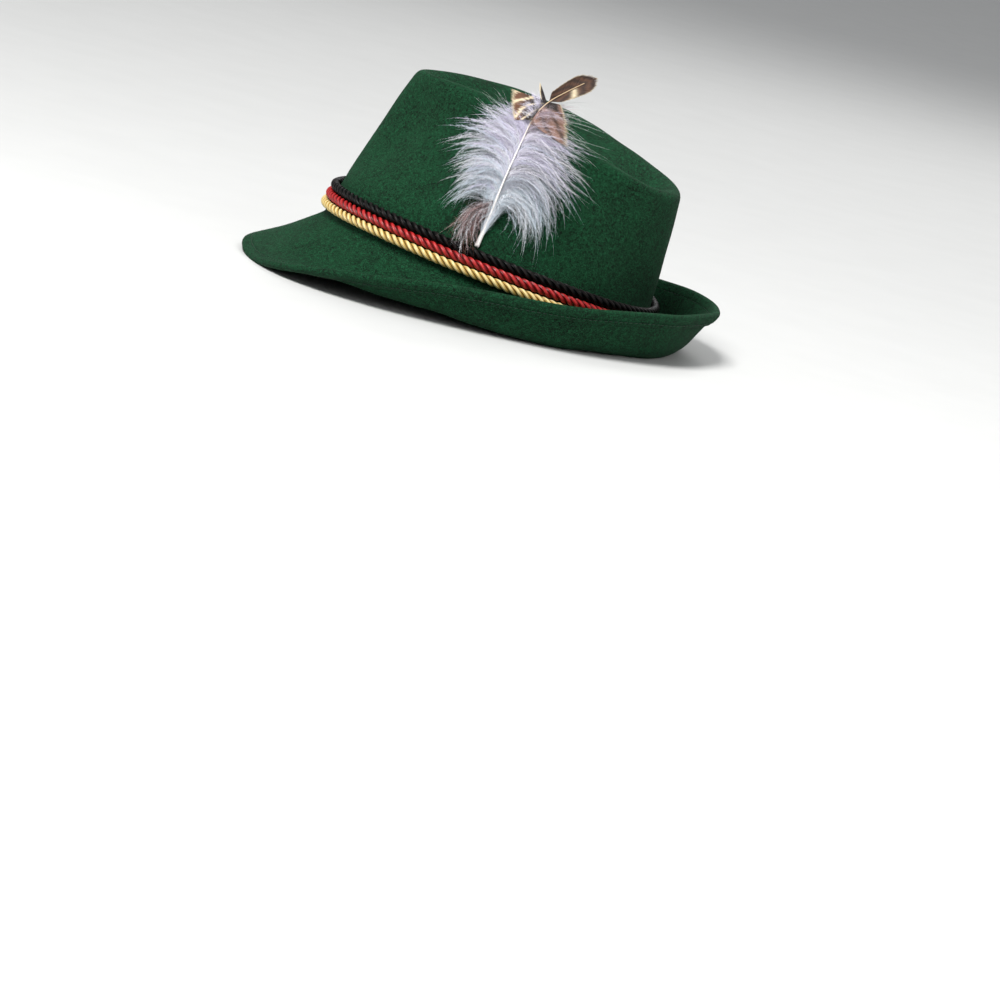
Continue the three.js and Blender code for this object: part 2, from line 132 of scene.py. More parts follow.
# %% Finishes
class Finish:
    """A material with one Principled shader. node() adds a node and returns one of its outputs."""

    def __init__(self, name, **constants):
        self.material = bpy.data.materials.new(name)
        self.material.use_nodes = True
        self.tree = self.material.node_tree
        self.shader = self.tree.nodes["Principled BSDF"]
        for key, value in constants.items():
            self.shader.inputs[key.replace("_", " ")].default_value = value

    def put(self, value, socket):
        """Links a wire to the socket, or sets the socket to a number or colour."""
        if isinstance(value, Wire):
            self.tree.links.new(value.socket, socket)
        else:
            socket.default_value = value

    def node(self, kind, settings=None, sockets=None, output=0):
        """Adds a node, with its settings first and then the values of its sockets."""
        made = self.tree.nodes.new(kind)
        for key, value in (settings or {}).items():
            if key == "stops":
                ramp = made.color_ramp
                while len(ramp.elements) < len(value):
                    ramp.elements.new(0.5)
                for stop, (place, shade) in zip(ramp.elements, value):
                    stop.position = place
                    stop.color = (shade, shade, shade, 1)
            else:
                setattr(made, key, value)
        for key, value in (sockets or {}).items():
            self.put(value, made.inputs[key])
        return Wire(self, made.outputs[output])

    def noise(self, size, detail, distortion=0.0):
        """Noise over the piece whose features are about size metres across."""
        place = self.node("ShaderNodeTexCoord", output="Object")
        sockets = {"Vector": place, "Scale": 1 / size, "Detail": detail, "Distortion": distortion}
        return self.node("ShaderNodeTexNoise", None, sockets)

    def texture_place(self, axis):
        """The piece's texture coordinate along X or Y."""
        texture = self.node("ShaderNodeTexCoord", output="UV")
        return self.node("ShaderNodeSeparateXYZ", None, {0: texture}, axis)

    def steps(self, value, stops):
        """Value read through a ramp of (place, shade) stops."""
        return self.node("ShaderNodeValToRGB", {"stops": stops}, {0: value})

    def mix(self, factor, first, second):
        """Colour that goes from first to second as factor goes from 0 to 1."""
        return self.node("ShaderNodeMix", {"data_type": "RGBA"}, {0: factor, 6: first, 7: second}, 2)

    def paint(self, colour):
        """The finish's base colour."""
        self.put(colour, self.shader.inputs["Base Color"])

    def rough(self, value):
        """Its roughness."""
        self.put(value, self.shader.inputs["Roughness"])

    def relief(self, height, depth):
        """Relief of depth metres where height runs from 0 to 1."""
        bump = self.node("ShaderNodeBump", None, {"Height": height, "Distance": depth}, "Normal")
        self.put(bump, self.shader.inputs["Normal"])


print("a finish can have noise, steps, mixed colours and relief")

# %% [markdown]
# Every shape below is a grid of points worked out with numpy, or many small closed spikes. One
# function turns such arrays into a mesh. It writes whole arrays at once, which takes a moment
# where a loop over a hundred thousand points would take minutes.

# %% Mesh helpers
def colour(red, green, blue):
    """Linear colour of an sRGB one given in 0 to 255."""
    value = np.array([red, green, blue]) / 255
    return (*(value ** 2.2), 1.0)


def dye(red, green, blue):
    """The same colour as an array without its fourth value, for tints."""
    return np.array(colour(red, green, blue)[:3])


def make_piece(name, points, faces, finish, uv=None, tint=None):
    """Object whose mesh has these points and these arrays of faces, one array for each number of
    corners. uv holds a pair for each corner, tint a colour for each point."""
    mesh = bpy.data.meshes.new(name)
    corners = np.concatenate([part.ravel() for part in faces])
    sizes = np.concatenate([np.full(len(part), part.shape[1]) for part in faces])
    mesh.vertices.add(len(points))
    mesh.vertices.foreach_set("co", points.astype(np.float32).ravel())
    mesh.loops.add(len(corners))
    mesh.loops.foreach_set("vertex_index", corners.astype(np.int32))
    mesh.polygons.add(len(sizes))
    mesh.polygons.foreach_set("loop_start", (np.cumsum(sizes) - sizes).astype(np.int32))
    if uv is not None:
        mesh.uv_layers.new(name="UVMap").data.foreach_set("uv", uv.astype(np.float32).ravel())
    if tint is not None:
        layer = mesh.color_attributes.new("tint", "FLOAT_COLOR", "POINT")
        layer.data.foreach_set("color", np.insert(tint, 3, 1, axis=1).astype(np.float32).ravel())
    mesh.update(calc_edges=True)
    mesh.shade_smooth()
    mesh.materials.append(finish.material)
    made = bpy.data.objects.new(name, mesh)
    bpy.context.scene.collection.objects.link(made)
    triangles = int((sizes - 2).sum())
    print(name, triangles, "triangles")
    return made


def grid_faces(rows, columns, closed):
    """Corners of the faces of a grid of points as (row, column) pairs. A closed direction runs on
    past its last line, so the pairs also serve as texture coordinates. A face looks the way of the
    columns' direction crossed with the rows': out of a tube whose columns go round its rows."""
    row, column = np.meshgrid(
        np.arange(rows - (not closed[0])), np.arange(columns - (not closed[1])), indexing="ij")
    row, column = row.ravel(), column.ravel()
    return np.stack([
        np.stack([row, column], 1), np.stack([row, column + 1], 1),
        np.stack([row + 1, column + 1], 1), np.stack([row + 1, column], 1)], 1)


def end_faces(rows, columns):
    """Corners of the two faces that close a tube's first and last row, as the same pairs."""
    column = np.arange(columns)
    return np.stack([np.stack([0 * column, column[::-1]], 1),
                     np.stack([0 * column + rows - 1, column], 1)])


def make_surface(name, points, closed, finish, repeat=(1, 1), tint=None):
    """Object from grids of points, given as (grid, row, column, axis). Its texture coordinates run
    from 0 to repeat along each direction. A tube, closed only round its columns, gets its ends."""
    grids, rows, columns = points.shape[:3]
    span = np.array([rows - (not closed[0]), columns - (not closed[1])])
    kinds = [grid_faces(rows, columns, closed)]
    if closed == (False, True):
        kinds.append(end_faces(rows, columns))
    faces, uv = [], []
    for pairs in kinds:
        flat = (pairs[..., 0] % rows) * columns + pairs[..., 1] % columns
        shifted = np.arange(grids)[:, None, None] * rows * columns + flat
        faces.append(shifted.reshape(-1, pairs.shape[1]))
        uv.append(np.broadcast_to(pairs / span * np.array(repeat), (grids, *pairs.shape)).ravel())
    return make_piece(name, points.reshape(-1, 3), faces, finish, np.concatenate(uv), tint)


def unit(vectors):
    """Vectors at length one."""
    return vectors / np.maximum(np.linalg.norm(vectors, axis=-1, keepdims=True), 1e-12)


def smooth(value, start, end):
    """0 before start, 1 after end, and between them the square of u times 3 minus 2 u, where u is
    the share of the way."""
    share = np.clip((value - start) / (end - start), 0, 1)
    return share * share * (3 - 2 * share)


def mix(first, second, share):
    """The point at share of the way from first to second."""
    return first + (second - first) * share


print("half way from 0 to 1 a smooth step is", float(smooth(0.5, 0, 1)))

# %% [markdown]
# The felt body is blocked from one piece of wool felt: an oval crown with a teardrop dent on
# top and a finger dent on each side of the front, and a brim that dips in front and turns up at
# the back. It could be sculpted, but sections are surer: at each angle round the hat a few
# numbers say where the ridge lies and how the brim slopes, a smooth curve runs through them,
# and every point follows. Lengths in these cells are in millimetres, as a hatter gives them.

# %% Sizes of the felt
FOOT_LENGTH = 201.4  # outside of the crown at its foot
FOOT_WIDTH = 169.4
FELT = 2.2
CROWN_HEIGHT = 106
FOOT_SADDLE = 5  # how far the foot rises from front and back to the sides
RIDGE_ROUND = 11
TOP_DENT = 17
PINCH_DEPTH = 13
BRIM_WIDTH = 58
FOOT_ROUND = 6
HEM_WIDTH = 7
TILT = math.radians(7.667)  # at which the brim stands on the floor at front and back
SECTION_STEP = 30  # degrees between the values below, from the front to the back
CROWN = {
    "along": (0.77, 0.78, 0.8, 0.84, 0.88, 0.91, 0.91),
    "across": (0.4, 0.5, 0.56, 0.62, 0.7, 0.78, 0.8),
    "height": (0.945, 0.965, 0.99, 0.985, 0.925, 0.863, 0.84),
    "foot": (0, 0.35, 0.85, 1, 0.8, 0.3, 0),
    "pinch": (0, 0.95, 0.8, 0, 0, 0, 0),
}
BRIM = {
    "width": (0.95, 0.96, 0.99, 1, 1, 1, 1),
    "droop": (41, 47, 49, 49, 40, 20, 9),
    "rise": (-34, -30, 22, 60, 72, 74, 70),
    "turn": (0.6, 0.62, 0.61, 0.54, 0.47, 0.41, 0.38),
}
print("crown", FOOT_LENGTH, "x", FOOT_WIDTH, "x", CROWN_HEIGHT, "mm, brim", BRIM_WIDTH, "mm")


# %% Sections of the crown
def section(values, angle):
    """A table's value at any angle: the smooth cubic through four neighbouring values, mirrored
    past the front and past the back."""
    place = np.degrees(np.abs(np.arctan2(np.sin(angle), np.cos(angle)))) / SECTION_STEP
    row = np.minimum(place.astype(int), len(values) - 2)
    padded = np.array([values[1], *values, values[-2]], float)
    a, b, c, d = (padded[row + k] for k in range(4))
    share = place - row
    bend = 2 * a - 5 * b + 4 * c - d + share * (3 * (b - c) + d - a)
    return b + 0.5 * share * (c - a + share * bend)


def foot_point(angle):
    """The oval of the crown's foot, minus cosine and minus sine of the angle, raised at the sides."""
    return np.stack([-FOOT_LENGTH / 2 * np.cos(angle), -FOOT_WIDTH / 2 * np.sin(angle),
                     FOOT_SADDLE * section(CROWN["foot"], angle)], -1)


def outward(angle):
    """Level direction square to that oval."""
    return unit(np.stack([-np.cos(angle) / FOOT_LENGTH, -np.sin(angle) / FOOT_WIDTH, 0 * angle], -1))


def ridge_corner(angle):
    """Where wall and top would meet in a sharp edge: the foot's oval drawn in, at the ridge's
    height."""
    foot = foot_point(angle)
    return np.stack([foot[..., 0] * section(CROWN["along"], angle),
                     foot[..., 1] * section(CROWN["across"], angle),
                     CROWN_HEIGHT * section(CROWN["height"], angle)], -1)


def bezier(first, control, last, share):
    """Parabola from first to last that leaves and arrives towards control."""
    share = np.asarray(share)[..., None]
    return first * (1 - share) ** 2 + 2 * control * share * (1 - share) + last * share ** 2


WALL_LEAN = 0.42  # the wall's control point lies this far in from the foot
WALL_RISE = 0.56  # and this far up


def wall_point(angle, share):
    """A point of the unpinched wall: a parabola from the foot to the ridge's corner."""
    foot = foot_point(angle)
    corner = ridge_corner(angle)
    control = mix(foot, corner, WALL_LEAN)
    control[..., 2] = mix(foot[..., 2], corner[..., 2], WALL_RISE)
    return bezier(foot, control, corner, share)


PINCH_START = 0.2


def pinch(angle, share):
    """Depth of the finger dents at share of the wall: square of u times square of 1 - u, over its
    peak, where u runs from 0 at PINCH_START to 1 at the ridge."""
    u = np.clip((share - PINCH_START) / (1 - PINCH_START), 0, 1)
    return 16 * PINCH_DEPTH * section(CROWN["pinch"], angle) * (u * (1 - u)) ** 2


def wall_lengths(angle, samples=65):
    """Shares of the wall and the lengths along it up to them, for each angle."""
    share = np.linspace(0, 1, samples)
    steps = np.linalg.norm(np.diff(wall_point(angle[:, None], share), axis=1), axis=-1)
    return share, np.concatenate([np.zeros((len(angle), 1)), np.cumsum(steps, 1)], 1)


print("wall length at the side", round(float(wall_lengths(np.array([math.pi / 2]))[1][0, -1]), 1), "mm")

# %% [markdown]
# One section runs from the middle of the top dent over the ridge and down the wall, and on
# along the brim. Its pieces are a flat floor, a parabola up the dent's slope, a parabola over
# the ridge and the wall's own curve, so the folds stay round and the stretches between them
# calm, as steamed felt does.

# %% Upper face of the felt
AROUND = 280
SPINE_MIDDLE = 0.06  # of half the length, behind the hat's middle
SPINE_REACH = 0.46
DENT_FOOT = 0.55
RIDGE_IN = 0.45
SLOPE_END = 0.6
FLOOR_START = 0.45
FLOOR_ROWS, DENT_ROWS, SLOPE_ROWS, RIDGE_ROWS, WALL_ROWS = 8, 12, 4, 26, 40


def crown_face(angle):
    """Rows of the crown from the dent's middle line to the foot, for a column of angles."""
    corner = ridge_corner(angle)
    spine = np.stack([FOOT_LENGTH / 2 * (SPINE_MIDDLE - SPINE_REACH * np.cos(angle)), 0 * angle,
                      corner[..., 2] - TOP_DENT], -1)
    _, lengths = wall_lengths(angle[:, 0])
    wall_top = 1 - RIDGE_ROUND / lengths[:, -1:]
    dent_foot = mix(corner, spine, DENT_FOOT)
    dent_foot[..., 2] = spine[..., 2]
    ridge_in = mix(corner, dent_foot, RIDGE_IN)
    slope_end = mix(corner, dent_foot, SLOPE_END)
    floor_start = mix(dent_foot, spine, FLOOR_START)
    share = np.linspace(0, 1, FLOOR_ROWS, endpoint=False)
    floor = mix(spine, floor_start, share[:, None])
    dent = bezier(floor_start, dent_foot, slope_end, np.linspace(0, 1, DENT_ROWS, endpoint=False))
    share = np.linspace(0, 1, SLOPE_ROWS, endpoint=False)
    slope = mix(slope_end, ridge_in, share[:, None])
    share = np.linspace(0, 1, RIDGE_ROWS)
    ridge = bezier(ridge_in, corner, wall_point(angle, wall_top), share)
    ridge -= outward(angle) * (pinch(angle, wall_top) * share ** 2)[..., None]
    share = wall_top * (1 - np.arange(1, WALL_ROWS + 1) / WALL_ROWS)
    wall = wall_point(angle, share) - outward(angle) * pinch(angle, share)[..., None]
    return np.concatenate([floor, dent, slope, ridge, wall], 1)


TURN_SPAN = 0.5  # share of the width over which the brim turns up
WALL_SLOPE = -78
OUTER_BAND = 10  # the edge's last millimetres, with finer rows
BAND_STEP = 0.2
BRIM_ROWS = 64


def brim_face(angle):
    """Rows of the brim: its slope at each distance from the foot, summed up step by step."""
    width = BRIM_WIDTH * section(BRIM["width"], angle)
    inner = np.linspace(0, 1, BRIM_ROWS + 1)
    band = np.arange(BAND_STEP, OUTER_BAND - FELT + BAND_STEP / 2, BAND_STEP)
    distance = np.concatenate([inner * (width - OUTER_BAND), width - OUTER_BAND + band], 1)
    middle = (distance[:, 1:] + distance[:, :-1]) / 2
    turn = section(BRIM["turn"], angle) * width
    half = TURN_SPAN * width / 2
    slope = mix(WALL_SLOPE, -section(BRIM["droop"], angle), smooth(middle, 0, FOOT_ROUND))
    slope = mix(slope, section(BRIM["rise"], angle), smooth(middle, turn - half, turn + half))
    slope = np.radians(slope)
    step = np.diff(distance, axis=1)[..., None]
    moves = outward(angle) * np.cos(slope)[..., None] * step
    moves[..., 2] += np.sin(slope) * step[..., 0]
    return foot_point(angle) + np.cumsum(moves, 1)


angles = (np.arange(AROUND) / AROUND * 2 * math.pi)[:, None]
upper = np.concatenate([crown_face(angles), brim_face(angles)], 1)
CROWN_COUNT = FLOOR_ROWS + DENT_ROWS + SLOPE_ROWS + RIDGE_ROWS + WALL_ROWS
band_rows = upper.shape[1] - CROWN_COUNT - BRIM_ROWS
EDGE_DISTANCE = FELT + BAND_STEP * np.arange(upper.shape[1])[::-1]  # true inside the outer band
print("upper face", upper.shape[:2], "points,", band_rows, "rows in the outer band")

# %% [markdown]
# Blocked felt is never quite even. A few long, shallow waves keep the highlights from running
# as if on plastic. The hem's stitches pull a narrow groove into the brim. Both move the points
# along the surface's own direction, and fade out under the cords, which lie close to the wall.

# %% Waves and the stitched groove
def face_normals(points):
    """Direction square to the face: along the rows crossed with round the hat."""
    along = np.gradient(points, axis=1)
    around = np.roll(points, -1, 0) - np.roll(points, 1, 0)
    normals = unit(np.cross(along, around))
    normals[:, 0] = (0, 0, 1)
    return normals


WAVES = ((71, 0.22), (43, 0.16), (27, 0.1))  # length and height in mm
WAVE_DIRECTIONS = 3  # of each length
WAVE_SEED = 5
GROOVE_DEPTH = 0.45
GROOVE_WIDTH = 0.55
STITCH_LINE = HEM_WIDTH - 0.8  # from the edge
CALM_ROWS = (6, 14)  # rows from the crown's foot over which the waves set in


def waves(points):
    """Sum of plane waves, a few of each length in random directions: height times the sine of the
    distance along the direction, counted in lengths and turned into an angle."""
    random = np.random.default_rng(WAVE_SEED)
    total = 0
    for length, height in WAVES:
        for direction in unit(random.normal(size=(WAVE_DIRECTIONS, 3))):
            total = total + height * np.sin(points @ direction * 2 * math.pi / length
                                            + random.uniform(0, 2 * math.pi))
    return total


normals = face_normals(upper)
row = np.arange(upper.shape[1])
calm = smooth(np.abs(row - CROWN_COUNT + 1), *CALM_ROWS)
from_edge = np.where(row >= CROWN_COUNT + BRIM_ROWS - 1, EDGE_DISTANCE, OUTER_BAND)
groove = GROOVE_DEPTH * np.exp(-((from_edge - STITCH_LINE) / GROOVE_WIDTH) ** 2)
uneven = calm * waves(upper)
upper = upper + normals * (uneven - groove)[..., None]
facing_side = upper[(-np.arange(AROUND)) % AROUND, 0]  # the dent's middle line has two sides
upper[:, 0, 1] = 0
upper[:, 0, ::2] = (upper[:, 0, ::2] + facing_side[:, ::2]) / 2
normals = face_normals(upper)
print("largest wave", round(float(np.abs(uneven).max()), 2), "mm")

# %% [markdown]
# The felt is one closed skin: the upper face, a round edge where the felt folds back, the hem
# twice as thick as the rest, and the under face one thickness below. Solidify would give the
# thickness, but not the hem, so the under face is the upper one, moved inwards. The hat
# is then tilted to its rest, set on the solid it replaces, and pressed flat where it stands.

# %% Felt body
EDGE_ROWS = 12
HEM_STEP = 0.8  # length over which the hem's double thickness ends
TURN = np.array([[math.cos(TILT), 0, -math.sin(TILT)], [0, 1, 0],
                 [math.sin(TILT), 0, math.cos(TILT)]])
edge_turn = np.linspace(0, math.pi, EDGE_ROWS + 2)[1:-1, None]
edge = upper[:, -1:] - FELT * normals[:, -1:]
outwards = unit(upper[:, -1:] - upper[:, -2:-1])
round_edge = edge + FELT * (normals[:, -1:] * np.cos(edge_turn) + outwards * np.sin(edge_turn))
depth = FELT * (2 - smooth(from_edge, HEM_WIDTH - HEM_STEP / 2, HEM_WIDTH + HEM_STEP / 2))
depth -= 2 * groove * (row > CROWN_COUNT)
under = upper - normals * depth[:, None]
kept = (row % 2 == 0) | (row > CROWN_COUNT + BRIM_ROWS)  # inside, half the rows will do
skin = np.concatenate([upper, round_edge, under[:, kept][:, ::-1]], 1)
tilted = (skin @ TURN).reshape(-1, 3)
low, high = tilted.min(0), tilted.max(0)
box_middle = (felt_box[0].x + felt_box[1].x) * 500  # half the sum, in mm
SHIFT = np.array([box_middle - (low[0] + high[0]) / 2, 0, felt_box[1].z * 1000 - high[2]])
print("skin", skin.shape[:2], "moved by", SHIFT.round(2), "mm")


def settle(points):
    """Points of the hat's own frame, in mm, as they lie in the resting hat, in metres: turned
    about the level axis by TILT, then moved by SHIFT."""
    return (points @ TURN + SHIFT) / 1000


felt = Finish("green_wool_felt", Roughness=0.95, Sheen_Weight=0.06, Sheen_Roughness=0.45,
              Sheen_Tint=colour(110, 180, 130), Specular_IOR_Level=0.15)
resting = settle(skin)
resting[..., 2] = np.maximum(resting[..., 2], 0)
hat = make_surface("felt_hat", resting[None], (True, False), felt)


def close_seams(piece, distance=1e-6):
    """Merges the points that lie together, such as the two sides of the dent's middle line."""
    mesh = bmesh.new()
    mesh.from_mesh(piece.data)
    before = len(mesh.verts)
    bmesh.ops.remove_doubles(mesh, verts=mesh.verts, dist=distance)
    mesh.to_mesh(piece.data)
    print(piece.name, before - len(mesh.verts), "points merged,",
          sum(edge.is_boundary for edge in mesh.edges), "open edges")
    mesh.free()


close_seams(hat)
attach(hat, "root")
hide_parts("felt_body")

# %% [markdown]
# Wool felt is matt and a little fuzzy. Its colour is never flat: darker where the fibres lie
# close, lighter where they stand up, with a tangle of fine streaks. Noise at three sizes gives
# that, and the same noise raises the surface a little. The sheen, which catches light at grazing
# angles as the nap does, is one number for the whole piece.

# %% Finish of the felt
FELT_DARK = colour(4, 22, 12)
FELT_BODY = colour(11, 47, 28)
FELT_LIGHT = colour(36, 88, 59)
CLOUD, CLUMP, FIBRE = 0.018, 0.0024, 0.0012  # metres across
FELT_RELIEF = 0.0018
cloud = felt.noise(CLOUD, 2)
clump = felt.noise(CLUMP, 3, 0.8)
fibre = felt.noise(FIBRE, 4, 2.0)
tangle = felt.steps(fibre, [(0.46, 0), (0.6, 1)])
close_wool = felt.steps(cloud * 0.4 + clump * 0.6, [(0.39, 0), (0.62, 1)])
base = felt.mix(close_wool, FELT_DARK, FELT_BODY)
felt.paint(felt.mix(tangle * 0.7, base, FELT_LIGHT))
felt.rough(0.86 + tangle * 0.1)
felt.relief(fibre * 0.6 + clump * 0.4, FELT_RELIEF)
print("felt finish: clouds, clumps and fibres", CLOUD, CLUMP, FIBRE, "m across")

# %% [markdown]
# Small closed spikes serve for everything fine on this hat: the nap of the felt, the down's
# barbs and the barbules on them. A spike is a three-sided needle, straight or bent, so thousands
# of them stay light. Curves with a bevel would do for a few, but not for so many.

# %% Needles
SIDES = 3


def needles(path, radius):
    """Points and faces of needles. path is (needle, step, axis) and radius (needle, step). Each step
    but the last is a triangle square to the path, the last one the tip, and the first is closed."""
    count, steps = path.shape[:2]
    along = unit(np.gradient(path, axis=1))
    helper = np.where(np.abs(along[..., 2:]) < 0.9, [[[0.0, 0, 1]]], [[[1.0, 0, 0]]])
    side = unit(np.cross(along, helper))
    other = np.cross(along, side)
    turn = np.arange(SIDES) / SIDES * 2 * math.pi
    ring = (side[:, :-1, None] * np.cos(turn)[:, None] + other[:, :-1, None] * np.sin(turn)[:, None])
    ring = path[:, :-1, None] + ring * radius[:, :-1, None, None]
    points = np.concatenate([ring.reshape(count, -1, 3), path[:, -1:]], 1)
    first = (np.arange(count) * points.shape[1])[:, None, None]
    pairs = grid_faces(steps - 1, SIDES, (False, True))
    quads = pairs[..., 0] * SIDES + pairs[..., 1] % SIDES
    here = (steps - 2) * SIDES + np.arange(SIDES)
    tip = np.stack([here, (steps - 2) * SIDES + (np.arange(SIDES) + 1) % SIDES,
                    np.full(SIDES, (steps - 1) * SIDES)], 1)
    tips = np.concatenate([tip, np.arange(SIDES)[None, ::-1]], 0)
    faces = [(first + quads).reshape(-1, 4), (first + tips).reshape(-1, 3)]
    return points.reshape(-1, 3), faces


def spread(values, steps):
    """One value for each needle, repeated for its points."""
    return np.repeat(values, (steps - 1) * SIDES + 1, axis=0)


def make_needles(name, bundles, finish):
    """One piece from bundles of (path in metres, radius, colour of each needle)."""
    points, quads, tips, tint = [], [], [], []
    start = 0
    for path, radius, shade in bundles:
        new_points, new_faces = needles(path, radius)
        points.append(new_points)
        quads.append(new_faces[0] + start)
        tips.append(new_faces[1] + start)
        tint.append(spread(shade, path.shape[1]))
        start += len(new_points)
    faces = [np.concatenate(quads), np.concatenate(tips)]
    return make_piece(name, np.concatenate(points), faces, finish, None, np.concatenate(tint))


def tinted(name, soil, amount, **constants):
    """Finish that takes its colour from the piece's own tint, with soil mixed in by an amount that
    the grain varies."""
    finish = Finish(name, **constants)
    tint = finish.node("ShaderNodeAttribute", {"attribute_name": "tint"}, None, "Color")
    grain = finish.noise(FIBRE, 2)
    finish.paint(finish.mix(grain * amount, tint, soil))
    finish.rough(0.62 + grain * 0.25)
    return finish


print("a straight needle has", SIDES + 1, "triangles")

# %% [markdown]
# The nap itself: short fibres that stand off the felt. Each one starts at a random place of the
# skin and leans over in a random direction. They are hardly seen one by one, but they soften the
# outline, which is what tells felt from plastic.

# %% Nap
NAP_COUNT = 15000
NAP_LENGTH = (0.5, 1.5)  # mm
NAP_RADIUS = 0.018
NAP_ROOT = 0.1  # how deep a fibre starts in the felt
NAP_RISE = (0.35, 1)  # straight off the felt, against NAP_LEAN to any side
NAP_LEAN = 0.8
NAP_SHADE = dye(22, 60, 39)
NAP_BRIGHTNESS = (0.5, 1.5)
NAP_SEED = 11


def scatter(grid, directions, count, random):
    """Random points of a closed grid with the direction square to it, picked by cell and area."""
    area = np.linalg.norm(np.cross(np.roll(grid, -1, 0)[:, :-1] - grid[:, :-1],
                                   grid[:, 1:] - grid[:, :-1]), axis=-1)
    cell = random.choice(area.size, count, p=(area / area.sum()).ravel())
    column, row = np.unravel_index(cell, area.shape)
    u, v = random.uniform(size=(2, count, 1))
    after = (column + 1) % len(grid)
    near = mix(grid[column, row], grid[column, row + 1], v)
    far = mix(grid[after, row], grid[after, row + 1], v)
    return mix(near, far, u), directions[column, row]


def make_nap():
    """Straight needles rooted in the felt. The direction of each is the felt's own, times a random
    rise, plus a random direction times the lean."""
    random = np.random.default_rng(NAP_SEED)
    start, normal = scatter(upper, normals, NAP_COUNT, random)
    lean = unit(random.normal(size=(NAP_COUNT, 3)))
    length = random.uniform(*NAP_LENGTH, (NAP_COUNT, 1))
    direction = unit(normal * random.uniform(*NAP_RISE, (NAP_COUNT, 1)) + lean * NAP_LEAN)
    path = settle(np.stack([start - normal * NAP_ROOT, start + direction * length], 1))
    radius = np.tile([NAP_RADIUS, 0], (NAP_COUNT, 1)) / 1000
    shade = NAP_SHADE * random.uniform(*NAP_BRIGHTNESS, (NAP_COUNT, 1))
    return make_needles("felt_nap", [(path, radius, shade)], tinted(
        "felt_nap_fibre", FELT_DARK, 0.5, Roughness=0.9, Specular_IOR_Level=0.1))


nap = make_nap()
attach(nap, "root")

# %% [markdown]
# The hem's stitches run a few millimetres inside the edge, on both faces, one short thread
# after another in the groove. Each is a bead-thin tube that dives into the felt at both ends.

# %% Hem stitches
STITCH_PITCH = 3.4
STITCH_LENGTH = 2.7
STITCH_CREST = 0.15  # how far the middle of a stitch stands off its line
STITCH_DIVE = 0.8  # and how far it would have dived one length from there
STITCH_END = 0.02  # what is left of the thread's section at the ends
STITCH_SEAT = 0.1  # from the felt to the line
THREAD = 0.4  # diameter
STITCH_STEPS = 5
THREAD_SIDES = 6
THREAD_TWIST = 30
THREAD_RELIEF = 0.00005


def run_along(points):
    """Length along a line up to each of its points."""
    return np.concatenate([[0], np.cumsum(np.linalg.norm(np.diff(points, axis=0), axis=1))])


def rings(path, along, away, radius, sides):
    """Rings of points round lines, from each line's points, its direction there, a direction
    roughly square to it, and the radius. A ring starts on the side that looks away."""
    side = unit(np.cross(along, away))
    out = np.cross(side, along)
    turn = np.arange(sides) / sides * 2 * math.pi
    spokes = out[..., None, :] * np.cos(turn)[:, None] + side[..., None, :] * np.sin(turn)[:, None]
    return path[..., None, :] + spokes * radius[..., None, None]


def make_stitches(name, line, out):
    """Short tubes at even places of a closed line. Along a stitch the height is the crest less the
    dive times the square of the share from its middle, and the section shrinks with the fourth
    power of that share."""
    closed = np.concatenate([line, line[:1]])
    run = run_along(closed)
    total = run[-1]
    count = int(total / STITCH_PITCH)
    step = np.linspace(-0.5, 0.5, STITCH_STEPS)
    places = (np.arange(count) * total / count)[:, None] + step * STITCH_LENGTH
    path = np.stack([np.interp(places % total, run, closed[:, axis]) for axis in range(3)], -1)
    away = out[((places / total * len(out)).astype(int)) % len(out)]
    path = path + away * (STITCH_CREST - STITCH_DIVE * step ** 2)[:, None]
    radius = THREAD / 2 * np.sqrt(np.clip(1 + STITCH_END - (2 * step) ** 4, 0, 1))
    along = unit(np.gradient(path, axis=1))
    tubes = rings(path, along, away, np.tile(radius, (count, 1)), THREAD_SIDES)
    return make_surface(name, settle(tubes), (False, True), thread)


thread = Finish("green_sewing_thread", Roughness=0.55)
strand = (thread.texture_place("X") * THREAD_TWIST).sine() * 0.5 + 0.5
thread.paint(thread.mix(strand, colour(10, 34, 22), colour(24, 60, 40)))
thread.relief(strand, THREAD_RELIEF)
stitch_row = int(np.argmin(np.abs(from_edge - STITCH_LINE)))
stitch_out = normals[:, stitch_row]
above = make_stitches("hem_stitches_above", upper[:, stitch_row] + STITCH_SEAT * stitch_out, stitch_out)
below = make_stitches("hem_stitches_below", under[:, stitch_row] - STITCH_SEAT * stitch_out, -stitch_out)
for stitches in (above, below):
    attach(stitches, "root")

# %% [markdown]
# Three cords go round the crown, gold below, red in the middle and black on top. Each is three
# plies laid round each other. A cord's middle line follows the wall at a fixed height along it,
# and a ply is a tube whose own middle circles that line, so the twist is real and the grooves
# between the plies catch the light. The filaments in each ply are finer than the mesh, so their
# slant comes from the ply's texture coordinates.

# %% Lines of the cords
CORD_DIAMETER = 5.4
CORD_SEAT = 0.3
CORD_FOOT = 0.6
WALL_STEP = 0.01  # share of the wall on each side, over which its direction is taken


def cord_line(order, angle):
    """Middle of a cord beside the wall at its height along it, and the two directions square to the
    cord: away from the wall and up along it."""
    up = CORD_FOOT + CORD_DIAMETER / 2 + order * (CORD_DIAMETER + CORD_SEAT)
    shares, lengths = wall_lengths(angle)
    index = (lengths < up).sum(1) - 1
    pick = np.arange(len(angle))
    before, after = lengths[pick, index], lengths[pick, index + 1]
    share = (index + (up - before) / (after - before)) * shares[1]
    along = unit(wall_point(angle, share + WALL_STEP) - wall_point(angle, share - WALL_STEP))
    away = outward(angle)
    away = unit(away - along * (away * along).sum(-1, keepdims=True))
    return wall_point(angle, share) + away * (CORD_DIAMETER / 2 + CORD_SEAT), away, along


print("the lowest cord starts", CORD_FOOT, "mm above the crown's foot")

